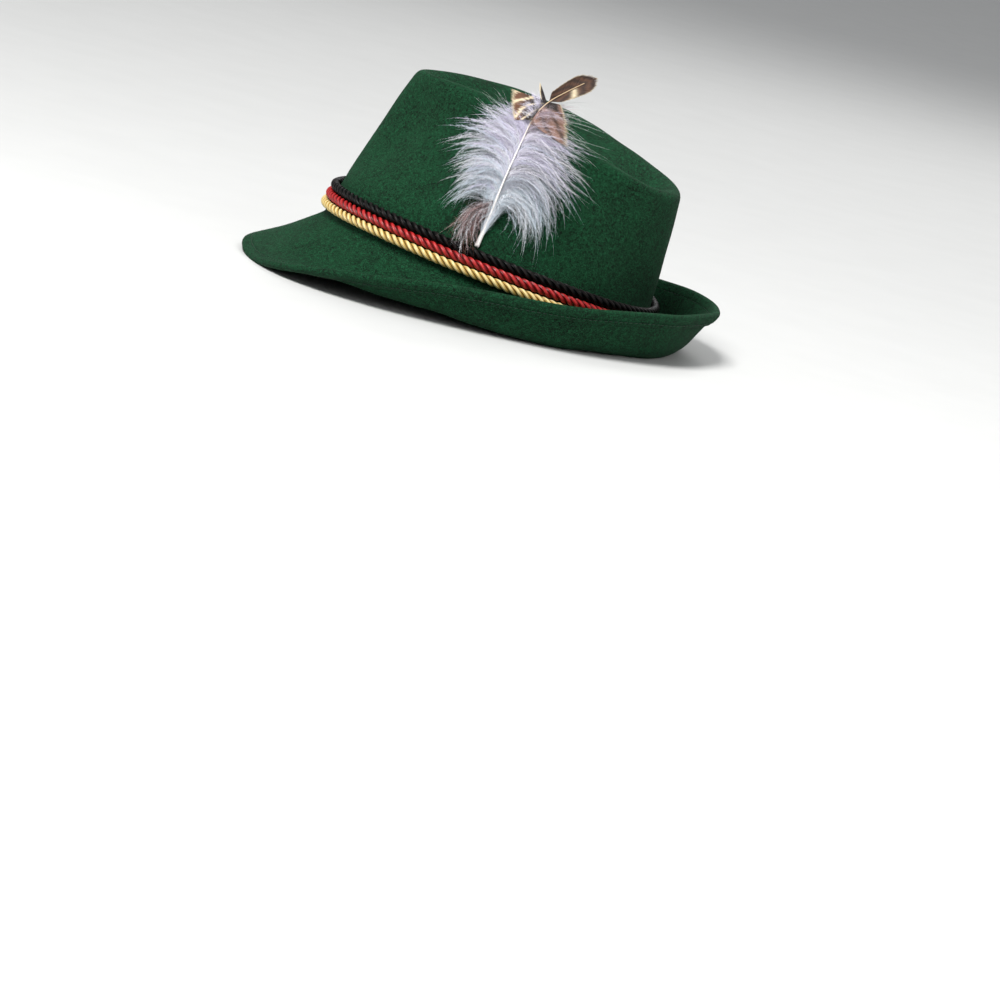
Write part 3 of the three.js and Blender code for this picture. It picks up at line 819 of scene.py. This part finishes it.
# %% Plies of the cords
PLIES = 3
PLY_DIAMETER = 2.54
CORD_PITCH = 14.6  # length in which a ply goes once round the cord
STEPS_PER_TURN = 18
PLY_SIDES = 10
LINE_SAMPLES = 721


def make_cord(name, order, finish):
    """Three plies: each circles the cord's line once a pitch, with the others a third of a turn
    behind, and the whole number of turns closes the ring."""
    angle = np.linspace(0, 2 * math.pi, LINE_SAMPLES)
    run = run_along(cord_line(order, angle)[0])
    turns = round(run[-1] / CORD_PITCH)
    place = np.arange(turns * STEPS_PER_TURN) / (turns * STEPS_PER_TURN)
    centre, away, along = cord_line(order, np.interp(place * run[-1], run, angle))
    plies = []
    for ply in range(PLIES):
        phase = (2 * math.pi * (ply / PLIES - turns * place))[:, None]
        spoke = away * np.cos(phase) + along * np.sin(phase)
        path = centre + spoke * (CORD_DIAMETER - PLY_DIAMETER) / 2
        tangent = unit(np.roll(path, -1, 0) - np.roll(path, 1, 0))
        plies.append(rings(path, tangent, spoke, np.full(len(path), PLY_DIAMETER / 2), PLY_SIDES))
    print(name, "is", round(run[-1]), "mm round with", turns, "turns")
    return make_surface(name, settle(np.stack(plies)), (True, True), finish, (turns, 1))


print("a turn of a ply has", 2 * STEPS_PER_TURN * PLY_SIDES, "triangles")

# %% Silk of the cords
FILAMENTS = 9  # seen round a ply
FILAMENT_SLANT = 5  # how often they go round a ply in one turn of the cord
SILK_WEAR_AND_GLINT, SILK_GRAIN = 0.004, 0.0005  # metres across
SILK_RELIEF = 0.00018


def cord_finish(name, gloss, dark, body, light):
    """Silky yarn: slanted filaments as a wave in the ply's own coordinates, darker between them,
    painted shade where the plies meet and a painted highlight along the top of each ply. Patches of
    worn silk change the roughness and how strong that painted highlight is."""
    finish = Finish(name, Specular_IOR_Level=gloss)
    along, across = finish.texture_place("X"), finish.texture_place("Y")
    slanted = (along * FILAMENT_SLANT + across * FILAMENTS) * (2 * math.pi)
    filament = slanted.sine() * 0.5 + 0.5
    wear_and_glint = finish.noise(SILK_WEAR_AND_GLINT, 3)
    facing = (across * (2 * math.pi)).cosine()  # 1 where the ply looks away from the cord
    # painted shade: towards the side where a ply meets the others, its colour goes to the dark one
    painted_groove_shading = finish.steps(facing * 0.5 + 0.5, [(0.3, 0), (0.75, 1)])
    # painted highlight: the light colour along the top of each ply, stronger in some noise patches
    crest = finish.steps(facing, [(0.55, 0), (1, 1)])
    shade = finish.mix(painted_groove_shading * (filament * 0.5 + 0.5), dark, body)
    finish.paint(finish.mix(crest * (wear_and_glint * 0.6 + 0.3), shade, light))
    finish.rough(0.24 + wear_and_glint * 0.26)
    finish.relief(filament * 0.8 + finish.noise(SILK_GRAIN, 2) * 0.2, SILK_RELIEF)
    return finish


print("silk with", FILAMENTS, "filaments round a ply")

# %% The three cords
CORDS = {  # order from below, gloss, then dark (gaps and painted shade), body and painted highlight
    "cord_gold": (0, 0.5, colour(74, 38, 6), colour(204, 168, 82), colour(252, 236, 176)),
    "cord_red": (1, 0.45, colour(44, 1, 3), colour(138, 9, 14), colour(204, 54, 54)),
    "cord_black": (2, 0.12, colour(1, 1, 2), colour(6, 7, 8), colour(40, 36, 35)),
}
for node, (order, gloss, *shades) in CORDS.items():
    cord = make_cord(node + "_twist", order, cord_finish(node + "_silk", gloss, *shades))
    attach(cord, "root")
    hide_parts(node)

# %% [markdown]
# The feather is tucked in above the black cord. It is easiest to lay out on the crown's wall as
# if on paper: how far back from the quill, how far up the wall, and how far off it. One function
# bends that paper round the crown, and the shaft, the down and the vane are drawn on it.

# %% The feather's place on the wall
FEATHER_LINE = math.radians(92)
FEATHER_LENGTH = 127
QUILL_WIDTH = 3.4
SHAFT_LEAN = 1
SHAFT_TIP_LEAN = 27
SHAFT_LIFT = 12
SHAFT_BEND = (0.58, 0.86)
SHAFT_RISE = (0.06, 0.4)
FEATHER_SEAT = 0.3
VANE_START = 0.7
SHAFT_SAMPLES = 200
feather_wall = float(wall_lengths(np.array([FEATHER_LINE]))[1][0, -1])
quill_foot = CORD_FOOT + PLIES * (CORD_DIAMETER + CORD_SEAT)


def beside_wall(place):
    """Points given as (around, up, off) in mm, in the hat's own frame: a point of the wall at that
    share of its length and that angle, moved off it outwards."""
    around, up, off = np.moveaxis(place, -1, 0)
    share = up / feather_wall
    shrink = mix(1, float(section(CROWN["along"], np.array(FEATHER_LINE))), share)
    angle = FEATHER_LINE + around / (FOOT_LENGTH / 2 * shrink)
    return wall_point(angle, share) + outward(angle) * off[..., None]


stations = (np.arange(SHAFT_SAMPLES) + 0.5) / SHAFT_SAMPLES
shaft_leans = np.radians(mix(SHAFT_LEAN, SHAFT_TIP_LEAN, smooth(stations, *SHAFT_BEND)))
shaft_around = np.concatenate([[0], np.cumsum(np.sin(shaft_leans))]) * FEATHER_LENGTH / SHAFT_SAMPLES
shaft_up = np.concatenate([[0], np.cumsum(np.cos(shaft_leans))]) * FEATHER_LENGTH / SHAFT_SAMPLES
shaft_stations = np.linspace(0, 1, SHAFT_SAMPLES + 1)


def shaft_place(station):
    """(around, up, off) of the shaft's middle at a share of its length."""
    off = mix(QUILL_WIDTH / 2 + FEATHER_SEAT, SHAFT_LIFT, smooth(station, *SHAFT_RISE))
    return np.stack([np.interp(station, shaft_stations, shaft_around),
                     quill_foot + np.interp(station, shaft_stations, shaft_up), off], -1)


def shaft_lean(station):
    """Its direction on the wall, from straight up towards the back, in radians."""
    return np.interp(station, stations, shaft_leans)


print("the quill's foot is", round(quill_foot, 1), "mm up the wall")

# %% The feather's shaft
SHAFT_ROWS = 120
SHAFT_SIDES = 12
SHAFT_STATIONS = (0, 0.1, 0.2, 0.34, 0.5, 0.7, 1)
SHAFT_WIDTHS = (2.9, 2.4, 1.4, 0.9, 0.66, 0.54, 0.4)  # mm
SHAFT_PROUD = 1.8  # how far the shaft stands off the roots of the down
QUILL_HOLLOW = (0.8, 0.7)  # depths of the dip in the cut end, mm
QUILL_RIM = (0.6, 0.8)  # and the widths there and at the cut, as shares
TIP_CAP = 0.3
POINT = 0.01  # radius at which a tube ends in a point
IVORY = dye(240, 236, 232)
TAN = dye(206, 178, 140)


def make_shaft():
    """A tube whose width follows the stations, white at the quill and tan at the tip. Its cut end
    dips in, as a hollow quill's does."""
    station = np.linspace(0, 1, SHAFT_ROWS)
    place = shaft_place(station)
    place[:, 2] += SHAFT_PROUD * (smooth(station, 0.1, 0.5) + smooth(station, 0.6, 0.8))
    path = beside_wall(place)
    radius = np.interp(station, SHAFT_STATIONS, SHAFT_WIDTHS) / 2
    ahead = unit(path[1] - path[0])
    end = unit(path[-1] - path[-2])
    deep, shallow = QUILL_HOLLOW
    path = np.concatenate([[path[0] + ahead * deep, path[0] + ahead * shallow, path[0]], path,
                           [path[-1] + end * TIP_CAP]])
    radius = np.concatenate([[POINT, *(radius[0] * np.array(QUILL_RIM))], radius, [POINT]])
    along = np.concatenate([[ahead] * 3, unit(np.gradient(path[3:], axis=0))])
    away = outward(np.full(len(path), FEATHER_LINE))
    tube = rings(path, along, away, radius, SHAFT_SIDES)
    share = np.concatenate([[0, 0, 0], station, [1]])[:, None, None]
    tint = np.broadcast_to(mix(IVORY, TAN, smooth(share, 0.45, 0.85)), tube.shape)
    return make_surface("feather_shaft", settle(tube)[None], (False, True), horn,
                        tint=tint.reshape(-1, 3))


horn = tinted("feather_horn", colour(170, 152, 130), 0.12, Roughness=0.4)
shaft = make_shaft()
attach(shaft, "root")

# %% [markdown]
# Down is barbs that carry finer ones, the barbules, on both sides. They don't hook together, so
# the barbs wander, gather in tufts, and end bare and pointed. Near the quill they leave the shaft
# almost along it, then arch over and fall to both sides, which leaves a small arch open to the
# right of the quill. A particle system could grow them, but arrays of needles give the same down
# on every run, and each tuft can be steered by a table.

# %% Barbs
DOWN_REACH = 52  # mm
DOWN_STATIONS = (0.03, 0.2, 0.34, 0.46, 0.57, 0.68)
LEAVING = 9  # degrees from the shaft at which a barb leaves it
ARCH = (0.14, 0.3)  # stations between which the lowest barbs turn away from the shaft
DOWN = {  # by station: the direction in which barbs end, in degrees from the shaft's, and reach
    -1: {"end": (-166, -158, -140, -120, -96, -74), "reach": (0.84, 0.94, 1.08, 0.92, 0.64, 0.32)},
    1: {"end": (174, 160, 132, 108, 88, 64), "reach": (1.12, 1.16, 1.16, 1.04, 0.8, 0.44)},
}
BARB_STEPS = 13
BARB_RADIUS = 0.1
BARBULE_LENGTH = 5.6
BARBULE_RADIUS = 0.045
WALL_CLEAR = 0.6


def barb_paths(station, first, last, reach, hug, lift, random):
    """Barbs as (barb, step, axis) lines on the wall's paper. A barb leaves the shaft turned by first
    from its direction and keeps to it for hug mm. Over its reach it turns on to last, soon after the
    start, and it waves a little and ends at lift."""
    count = len(station)
    share = np.linspace(0, 1, BARB_STEPS)
    total = (reach + hug)[:, None]
    turned = np.clip((share * total - hug[:, None]) / reach[:, None], 0, 1)
    wave = random.normal(0, 0.2, (count, 1)) * turned * np.sin(
        turned * random.uniform(4, 10, (count, 1)) + random.uniform(0, 6, (count, 1)))
    eased = 1 - (1 - turned ** 1.2) ** random.uniform(2, 3.6, (count, 1))
    lean = (shaft_lean(station) + first)[:, None] + (last - first)[:, None] * eased + wave
    start = shaft_place(station)
    paper = walk(start[:, :2], lean, total / (BARB_STEPS - 1))
    arch = random.uniform(-1.5, 4, (count, 1)) * np.sin(math.pi * share)
    off = mix(start[:, 2:], lift[:, None], share ** 1.3) + arch
    return np.concatenate([paper, np.maximum(off, WALL_CLEAR)[..., None]], -1)


def walk(start, lean, step):
    """Lines on the wall's paper, as (around, up): from start, by equal steps in the directions that
    lean gives, in radians from straight up."""
    moves = np.stack([np.sin(lean), np.cos(lean)], -1) * step[..., None]
    return start[:, None] + np.cumsum(moves, 1) - moves


print("the down has", len(DOWN), "sides and reaches", DOWN_REACH, "mm")


# %% Barbules
def barbules(paths, reach, shade, spacing, random):
    """Barbules along the barbs, one each spacing. Each leans forward to one side or the other and
    somewhat off the plane. They are short at the root and shrink to nothing before the barb's tip."""
    counts = np.maximum((reach / spacing).astype(int), 1)
    barb = np.repeat(np.arange(len(paths)), counts)
    share = random.uniform(0.06, 0.86, len(barb))
    place = share * (BARB_STEPS - 1)
    index = np.minimum(place.astype(int), BARB_STEPS - 2)
    start = mix(paths[barb, index], paths[barb, index + 1], (place - index)[:, None])
    along = unit(paths[barb, index + 1] - paths[barb, index])
    away = outward(np.full(len(barb), FEATHER_LINE))
    side = unit(np.cross(along, away))
    out = np.cross(side, along)
    tip = random.normal(0, 1, len(barb))
    which = random.choice([-1.0, 1.0], len(barb))
    across = side * (which * np.cos(tip))[:, None] + out * np.sin(tip)[:, None]
    opening = random.uniform(0.2, 1.2, len(barb))[:, None]
    direction = along * np.cos(opening) + across * np.sin(opening)
    length = BARBULE_LENGTH * (1 - (share / 0.9) ** 2.5) * random.uniform(0.35, 1.1, len(barb))
    length = length * mix(0.3, 1, smooth(share, 0, 0.35))
    path = np.stack([start, start + direction * length[:, None]], 1)
    radius = np.tile([BARBULE_RADIUS, 0], (len(barb), 1))
    return path, radius, shade[barb] * random.uniform(0.9, 1.05, (len(barb), 1))


def down_bundle(barbs, reach, shade, spacing, random):
    """Barbs and their barbules, ready for make_needles."""
    paths = beside_wall(barbs)
    thin = 1 - 0.85 * np.linspace(0, 1, BARB_STEPS)
    radius = BARB_RADIUS * random.uniform(0.7, 1.2, (len(paths), 1)) * thin
    fine, fine_radius, fine_shade = barbules(paths, reach, shade, spacing, random)
    return [(settle(paths), radius / 1000, shade), (settle(fine), fine_radius / 1000, fine_shade)]


print("a barb has", 2 * SIDES * (BARB_STEPS - 2) + SIDES + 1, "triangles")

# %% Tufts of down
WHITE = dye(253, 251, 255)
# LAVENDER and ICE are painted shade: cool tints that darken the white down
LAVENDER = dye(220, 212, 238)
ICE = dye(218, 234, 244)
ROSE = dye(190, 160, 158)
BROWN = dye(122, 88, 74)
UMBER = dye(48, 38, 36)
TUFTS = 17  # on each side, in each layer
TUFT_BARBS = 12


def shade_of(station, side, random):
    """White, mixed barb by barb with painted shade in cool tints, lavender in the upper half and a
    pale icy blue in the lower, and with rosy brown on the right of the upper shaft."""
    count = len(station)
    # painted shade: cool tints mixed into the white at random from barb to barb
    painted_cool_shade = mix(ICE, LAVENDER, smooth(station + random.normal(0, 0.1, count), 0.2, 0.45)[:, None])
    shade = mix(WHITE, painted_cool_shade, random.uniform(0, 1, (count, 1)))
    rosy = smooth(station, 0.5, 0.62) * (side > 0) * random.uniform(0.1, 1, count)
    return mix(shade, ROSE, rosy[:, None])


def make_down(name, side, height, spacing, seed):
    """The tufts on one side of the shaft, in one layer. A tuft's barbs share its direction, reach
    and height above the shaft, and scatter a little about them."""
    random = np.random.default_rng(seed)
    table = DOWN[side]
    centre = np.linspace(DOWN_STATIONS[0], VANE_START, TUFTS) + random.normal(0, 0.01, TUFTS)
    swing, long = random.normal(0, 13, TUFTS), random.uniform(0.76, 1.06, TUFTS)
    leaves = random.uniform(*ARCH, TUFTS)
    rise = random.uniform(*height, TUFTS)
    tuft = np.repeat(np.arange(TUFTS), TUFT_BARBS)
    count = len(tuft)
    station = np.clip(centre[tuft] + random.normal(0, 0.014, count), DOWN_STATIONS[0], VANE_START)
    end = np.interp(station, DOWN_STATIONS, table["end"]) + swing[tuft] + random.normal(0, 12, count)
    reach = DOWN_REACH * np.interp(station, DOWN_STATIONS, table["reach"])
    reach = reach * long[tuft] * random.uniform(0.55, 1.05, count)
    hug = FEATHER_LENGTH * np.maximum(leaves[tuft] + random.normal(0, 0.02, count) - station, 0)
    lift = shaft_place(station + hug / FEATHER_LENGTH)[:, 2] + rise[tuft] + random.normal(0, 1.2, count)
    first = side * np.radians(random.uniform(0.3, 1.7, count) * LEAVING)
    barbs = barb_paths(station, first, np.radians(end), reach, hug, np.maximum(lift, WALL_CLEAR), random)
    bundle = down_bundle(barbs, reach, shade_of(station, side, random), spacing, random)
    return make_needles(name, bundle, down_finish)


down_finish = tinted("white_down", colour(222, 218, 232), 0.04, Roughness=0.8, Specular_IOR_Level=0.2)
LAYERS = (
    ("down_left_near", -1, (-2, 6), 0.21, 21),
    ("down_left_wall", -1, (-12, -3), 0.28, 22),
    ("down_right_near", 1, (-2, 6), 0.25, 23),
    ("down_right_wall", 1, (-12, -3), 0.34, 24),
)
plume = [make_down(*layer) for layer in LAYERS]
for piece in plume:
    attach(piece, "root")
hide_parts("feather_plume")

# %% [markdown]
# Below the down on the left hangs a darker tuft of the feather's second, smaller shaft, and
# long pale wisps stray from the cloud all round. They are the same barbs with other angles: a
# short table holds the wisps, as they fall in the photograph.

# %% Dark tuft and wisps
PALE_GREEN = dye(206, 226, 208)
STRANDS = 130
WISP_COPIES = 5
WISPS = (  # station, end direction in degrees, reach and lift in mm
    (0.5, -196, 56, 6),
    (0.36, -142, 48, 7),
    (0.3, -152, 42, 4),
    (0.4, -58, 48, 12),
    (0.44, -62, 45, 13),
    (0.48, -72, 46, 13),
    (0.69, 44, 34, 12),
    (0.68, 56, 40, 11),
    (0.66, 66, 44, 9),
    (0.62, 78, 48, 9),
    (0.56, 86, 54, 8),
    (0.48, 92, 58, 7),
    (0.4, 98, 58, 7),
    (0.33, 106, 58, 5),
    (0.26, 120, 56, 4),
    (0.2, 134, 52, 3),
)


def make_strands():
    """Barbs that all start low on the shaft and hang down to the left, some of them dark."""
    random = np.random.default_rng(31)
    station = random.uniform(0.14, 0.22, STRANDS)
    first = np.radians(random.uniform(-140, -90, STRANDS))
    last = np.radians(random.uniform(-214, -150, STRANDS))
    reach = random.uniform(18, 35, STRANDS)
    lift = random.uniform(3, 13, STRANDS)
    tone = random.uniform(0, 1, (STRANDS, 1))
    shade = np.select([tone < 0.24, tone < 0.46, tone < 0.76], [UMBER, BROWN, ROSE], WHITE)
    barbs = barb_paths(station, first, last, reach, 0 * reach, lift, random)
    return make_needles("down_dark_tuft", down_bundle(barbs, reach, shade, 0.4, random), down_finish)


def make_wisps():
    """A few barbs for each row of the table, scattered a little about its direction."""
    random = np.random.default_rng(32)
    station, last, reach, lift = np.repeat(np.array(WISPS, float), WISP_COPIES, axis=0).T
    count = len(station)
    last = np.radians(last + random.normal(0, 13, count))
    first = np.sign(last) * math.radians(LEAVING)
    reach = reach * random.uniform(0.75, 1.05, count)
    shade = mix(WHITE, PALE_GREEN, random.uniform(0, 0.8, (count, 1)))
    lift = lift + random.normal(0, 1, count)
    barbs = barb_paths(station, first, last, reach, 0 * reach, lift, random)
    return make_needles("down_wisps", down_bundle(barbs, reach, shade, 6, random), down_finish)


for piece in (make_strands(), make_wisps()):
    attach(piece, "root")

# %% [markdown]
# At the tip the barbs hook together into a small vane, barred brown, black and cream. Two lobes
# with straight ends stand out to the left and right, two halves make a rounded one along the
# shaft to its tip, and a small dark spike stands beside it. A lobe is a row of flat barbs side by
# side, each rooted on the shaft. A barb's colour changes along it, and because the bars run
# across neighbouring barbs, they read as one pattern.

# %% Barred vane
LOBE_BARBS = 64
LOBE_STEPS = 18
BARB_WIDTH = 0.5
BARB_THICKNESS = 0.2
LOBE_PROUD = 3  # how far the vane lies above the down
LOBE_CUP = 1.6  # and how much further at its edge
CREAM = dye(228, 210, 176)
RUST = dye(112, 76, 54)
SOOT = dye(30, 23, 22)
FAWN = dye(156, 126, 114)
LOBES = (  # stations of the first and last barb; turn in degrees and reach in mm, from the first
    # barb towards the middle value to the last; bend in degrees; power that holds the first turn
    {"name": "left", "stations": (0.66, 0.78), "turn": (-132, -128, -124), "reach": (10, 15, 20),
     "bend": 8, "hold": 1},
    {"name": "right", "stations": (0.64, 0.785), "turn": (96, 76, 50), "reach": (22, 17, 7),
     "bend": -10, "hold": 1},
    {"name": "tip_left", "stations": (0.79, 0.99), "turn": (-30, -31, -1), "reach": (7.5, 13, 12),
     "bend": 4, "hold": 3},
    {"name": "tip_right", "stations": (0.79, 0.99), "turn": (32, 31, 1), "reach": (8, 12, 12),
     "bend": -4, "hold": 3},
    {"name": "spike", "stations": (0.76, 0.772), "turn": (-66, -62, -56), "reach": (4, 8, 13),
     "bend": 0, "hold": 1},
)


print("lobes:", ", ".join(lobe["name"] for lobe in LOBES))


# %% Colours of the lobes
def blend(first, second, amount):
    """Colours mixed by an amount for each point."""
    return mix(first, second, amount[..., None])


def lobe_tint(name, share, place, random):
    """Colour of a lobe by share of the way out and place from its first barb to its last: bars
    that follow a sine of both, and a pale end. The right half of the tip has a pale spot."""
    flutter = random.normal(0, 0.04, (LOBE_BARBS, 1))
    fade = random.uniform(0, 0.35, (LOBE_BARBS, 1))
    waver = 0.12 * np.sin(9 * place) + flutter
    bars = 0.5 + 0.5 * np.sin((share * 2.1 + place * 2.3 + waver) * 2 * math.pi)
    if name == "left":
        tint = blend(SOOT, RUST, smooth(share, 0.3, 0.9))
        tint = blend(tint, CREAM, smooth(bars * (0.8 + 0.4 * share), 0.74, 0.95))
        return blend(tint, CREAM, smooth(share, 0.88, 0.95))
    if name == "right":
        tint = blend(blend(FAWN, RUST, fade * 2), SOOT, 0.7 * smooth(bars, 0.6, 0.9))
        tint = blend(tint, SOOT, smooth(place, 0.62, 0.8) * smooth(1 - share, 0.1, 0.4))
        return blend(tint, CREAM, smooth(share, 0.88, 0.96))
    if name == "spike":
        return blend(SOOT, CREAM, smooth(share, 0.8, 0.95))
    spot = np.exp(-((place + share / 2 - 0.72) / 0.08) ** 2) * smooth(share, 0.05, 0.2)
    tint = blend(SOOT, RUST, 0.15 + 0.45 * bars)
    tint = blend(tint, CREAM, spot * (name == "tip_right"))
    tint = blend(tint, SOOT, fade)
    return blend(tint, CREAM, 0.8 * smooth(share, 0.86, 1))


print("bars and pale ends for", len(LOBES), "lobes")


# %% Barbs of the lobes
def curve(values, place):
    """Parabola from the first value to the last that leaves and arrives towards the middle one."""
    first, middle, last = values
    return first * (1 - place) ** 2 + 2 * middle * place * (1 - place) + last * place ** 2


def lobe_paths(lobe, random):
    """Barbs of a lobe on the wall's paper, rooted at even stations. Turn and reach follow
    curves from the first barb to the last one, and each barb bends a little on its way. The turn
    holds its first value the longer the higher the power hold is, which rounds the end."""
    place = np.linspace(0, 1, LOBE_BARBS)
    station = mix(*lobe["stations"], place)
    share = np.linspace(0, 1, LOBE_STEPS)[None]
    reach = curve(lobe["reach"], place) * random.uniform(0.94, 1.03, LOBE_BARBS)
    start = shaft_place(station)
    turn = np.radians(curve(lobe["turn"], place ** lobe["hold"]))
    lean = (shaft_lean(station) + turn)[:, None] + math.radians(lobe["bend"]) * share
    paper = walk(start[:, :2], lean, (reach / (LOBE_STEPS - 1))[:, None])
    cup = LOBE_PROUD + LOBE_CUP * share ** 2 + random.normal(0, 0.06, (LOBE_BARBS, 1))
    paper = np.concatenate([paper, (start[:, 2:] + cup)[..., None]], -1)
    return paper, np.broadcast_to(share, lean.shape), np.broadcast_to(place[:, None], lean.shape)


def make_vane():
    """Flat tubes with four sides: a barb's width lies in the lobe, its thickness across it."""
    random = np.random.default_rng(41)
    tubes, tints = [], []
    for lobe in LOBES:
        paper, share, place = lobe_paths(lobe, random)
        path = beside_wall(paper)
        along = unit(np.gradient(path, axis=1))
        side = unit(np.cross(along, outward(np.full(path.shape[:2], FEATHER_LINE))))
        out = np.cross(side, along)
        thin = np.clip(1.03 - share ** 8, 0.03, 1)[..., None]
        wide, deep = side * thin * BARB_WIDTH / 2, out * thin * BARB_THICKNESS / 2
        tubes.append(np.stack([path - wide, path + deep, path + wide, path - deep], 2))
        tint = lobe_tint(lobe["name"], share, place, random)
        tints.append(np.repeat(tint[:, :, None], 4, axis=2).reshape(-1, 3))
    return make_surface("feather_barred_vane", settle(np.concatenate(tubes)), (False, True),
                        vane_finish, tint=np.concatenate(tints))


vane_finish = tinted("barred_vane", colour(60, 44, 36), 0.2, Roughness=0.6)
vane = make_vane()
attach(vane, "root")
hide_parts("feather_vane")

# %% [markdown]
# The setting is plain: a wide pale floor, one broad soft light from above on the feather's side,
# a weaker one behind it on the same side, one from the far side that draws the edge of the crown,
# and a pale sky that fills the shadows.

# %% Floor and light
FLOOR_REACH = 15
LIGHTS = {  # place and size in metres, power in watts
    "key": ((-0.45, -1.15, 1.85), 0.9, 66),
    "fill": ((1.6, -1.4, 0.9), 1.4, 11),
    "rim": ((0.3, 1.8, 1.5), 1.2, 17),
}
SKY_COLOUR = (0.95, 0.97, 1, 1)
SKY_STRENGTH = 0.42


def make_floor():
    """One square face that looks up."""
    corners = FLOOR_REACH * np.array([[-1, -1, 0], [1, -1, 0], [1, 1, 0], [-1, 1, 0]])
    finish = Finish("pale_floor", Roughness=0.7)
    grain = finish.noise(0.05, 4)
    finish.paint(finish.mix(grain, colour(198, 198, 196), colour(204, 204, 202)))
    return make_piece("floor", corners, [np.array([[0, 1, 2, 3]])], finish)


make_floor()


def area_light(name, place, size, power):
    """A round lamp at place that looks at the middle of the floor."""
    light = bpy.data.objects.new(name, bpy.data.lights.new(name, "AREA"))
    light.data.shape = "DISK"
    light.data.size = size
    light.data.energy = power
    light.location = place
    light.rotation_euler = (-Vector(place)).to_track_quat("-Z", "Y").to_euler()
    bpy.context.scene.collection.objects.link(light)


for name, (place, size, power) in LIGHTS.items():
    area_light(name, place, size, power)
world = bpy.data.worlds.new("sky")
world.use_nodes = True
sky = world.node_tree.nodes["Background"]
sky.inputs["Color"].default_value = SKY_COLOUR
sky.inputs["Strength"].default_value = SKY_STRENGTH
bpy.context.scene.world = world
bpy.context.scene.view_settings.view_transform = "Standard"
print("lights:", ", ".join(LIGHTS))
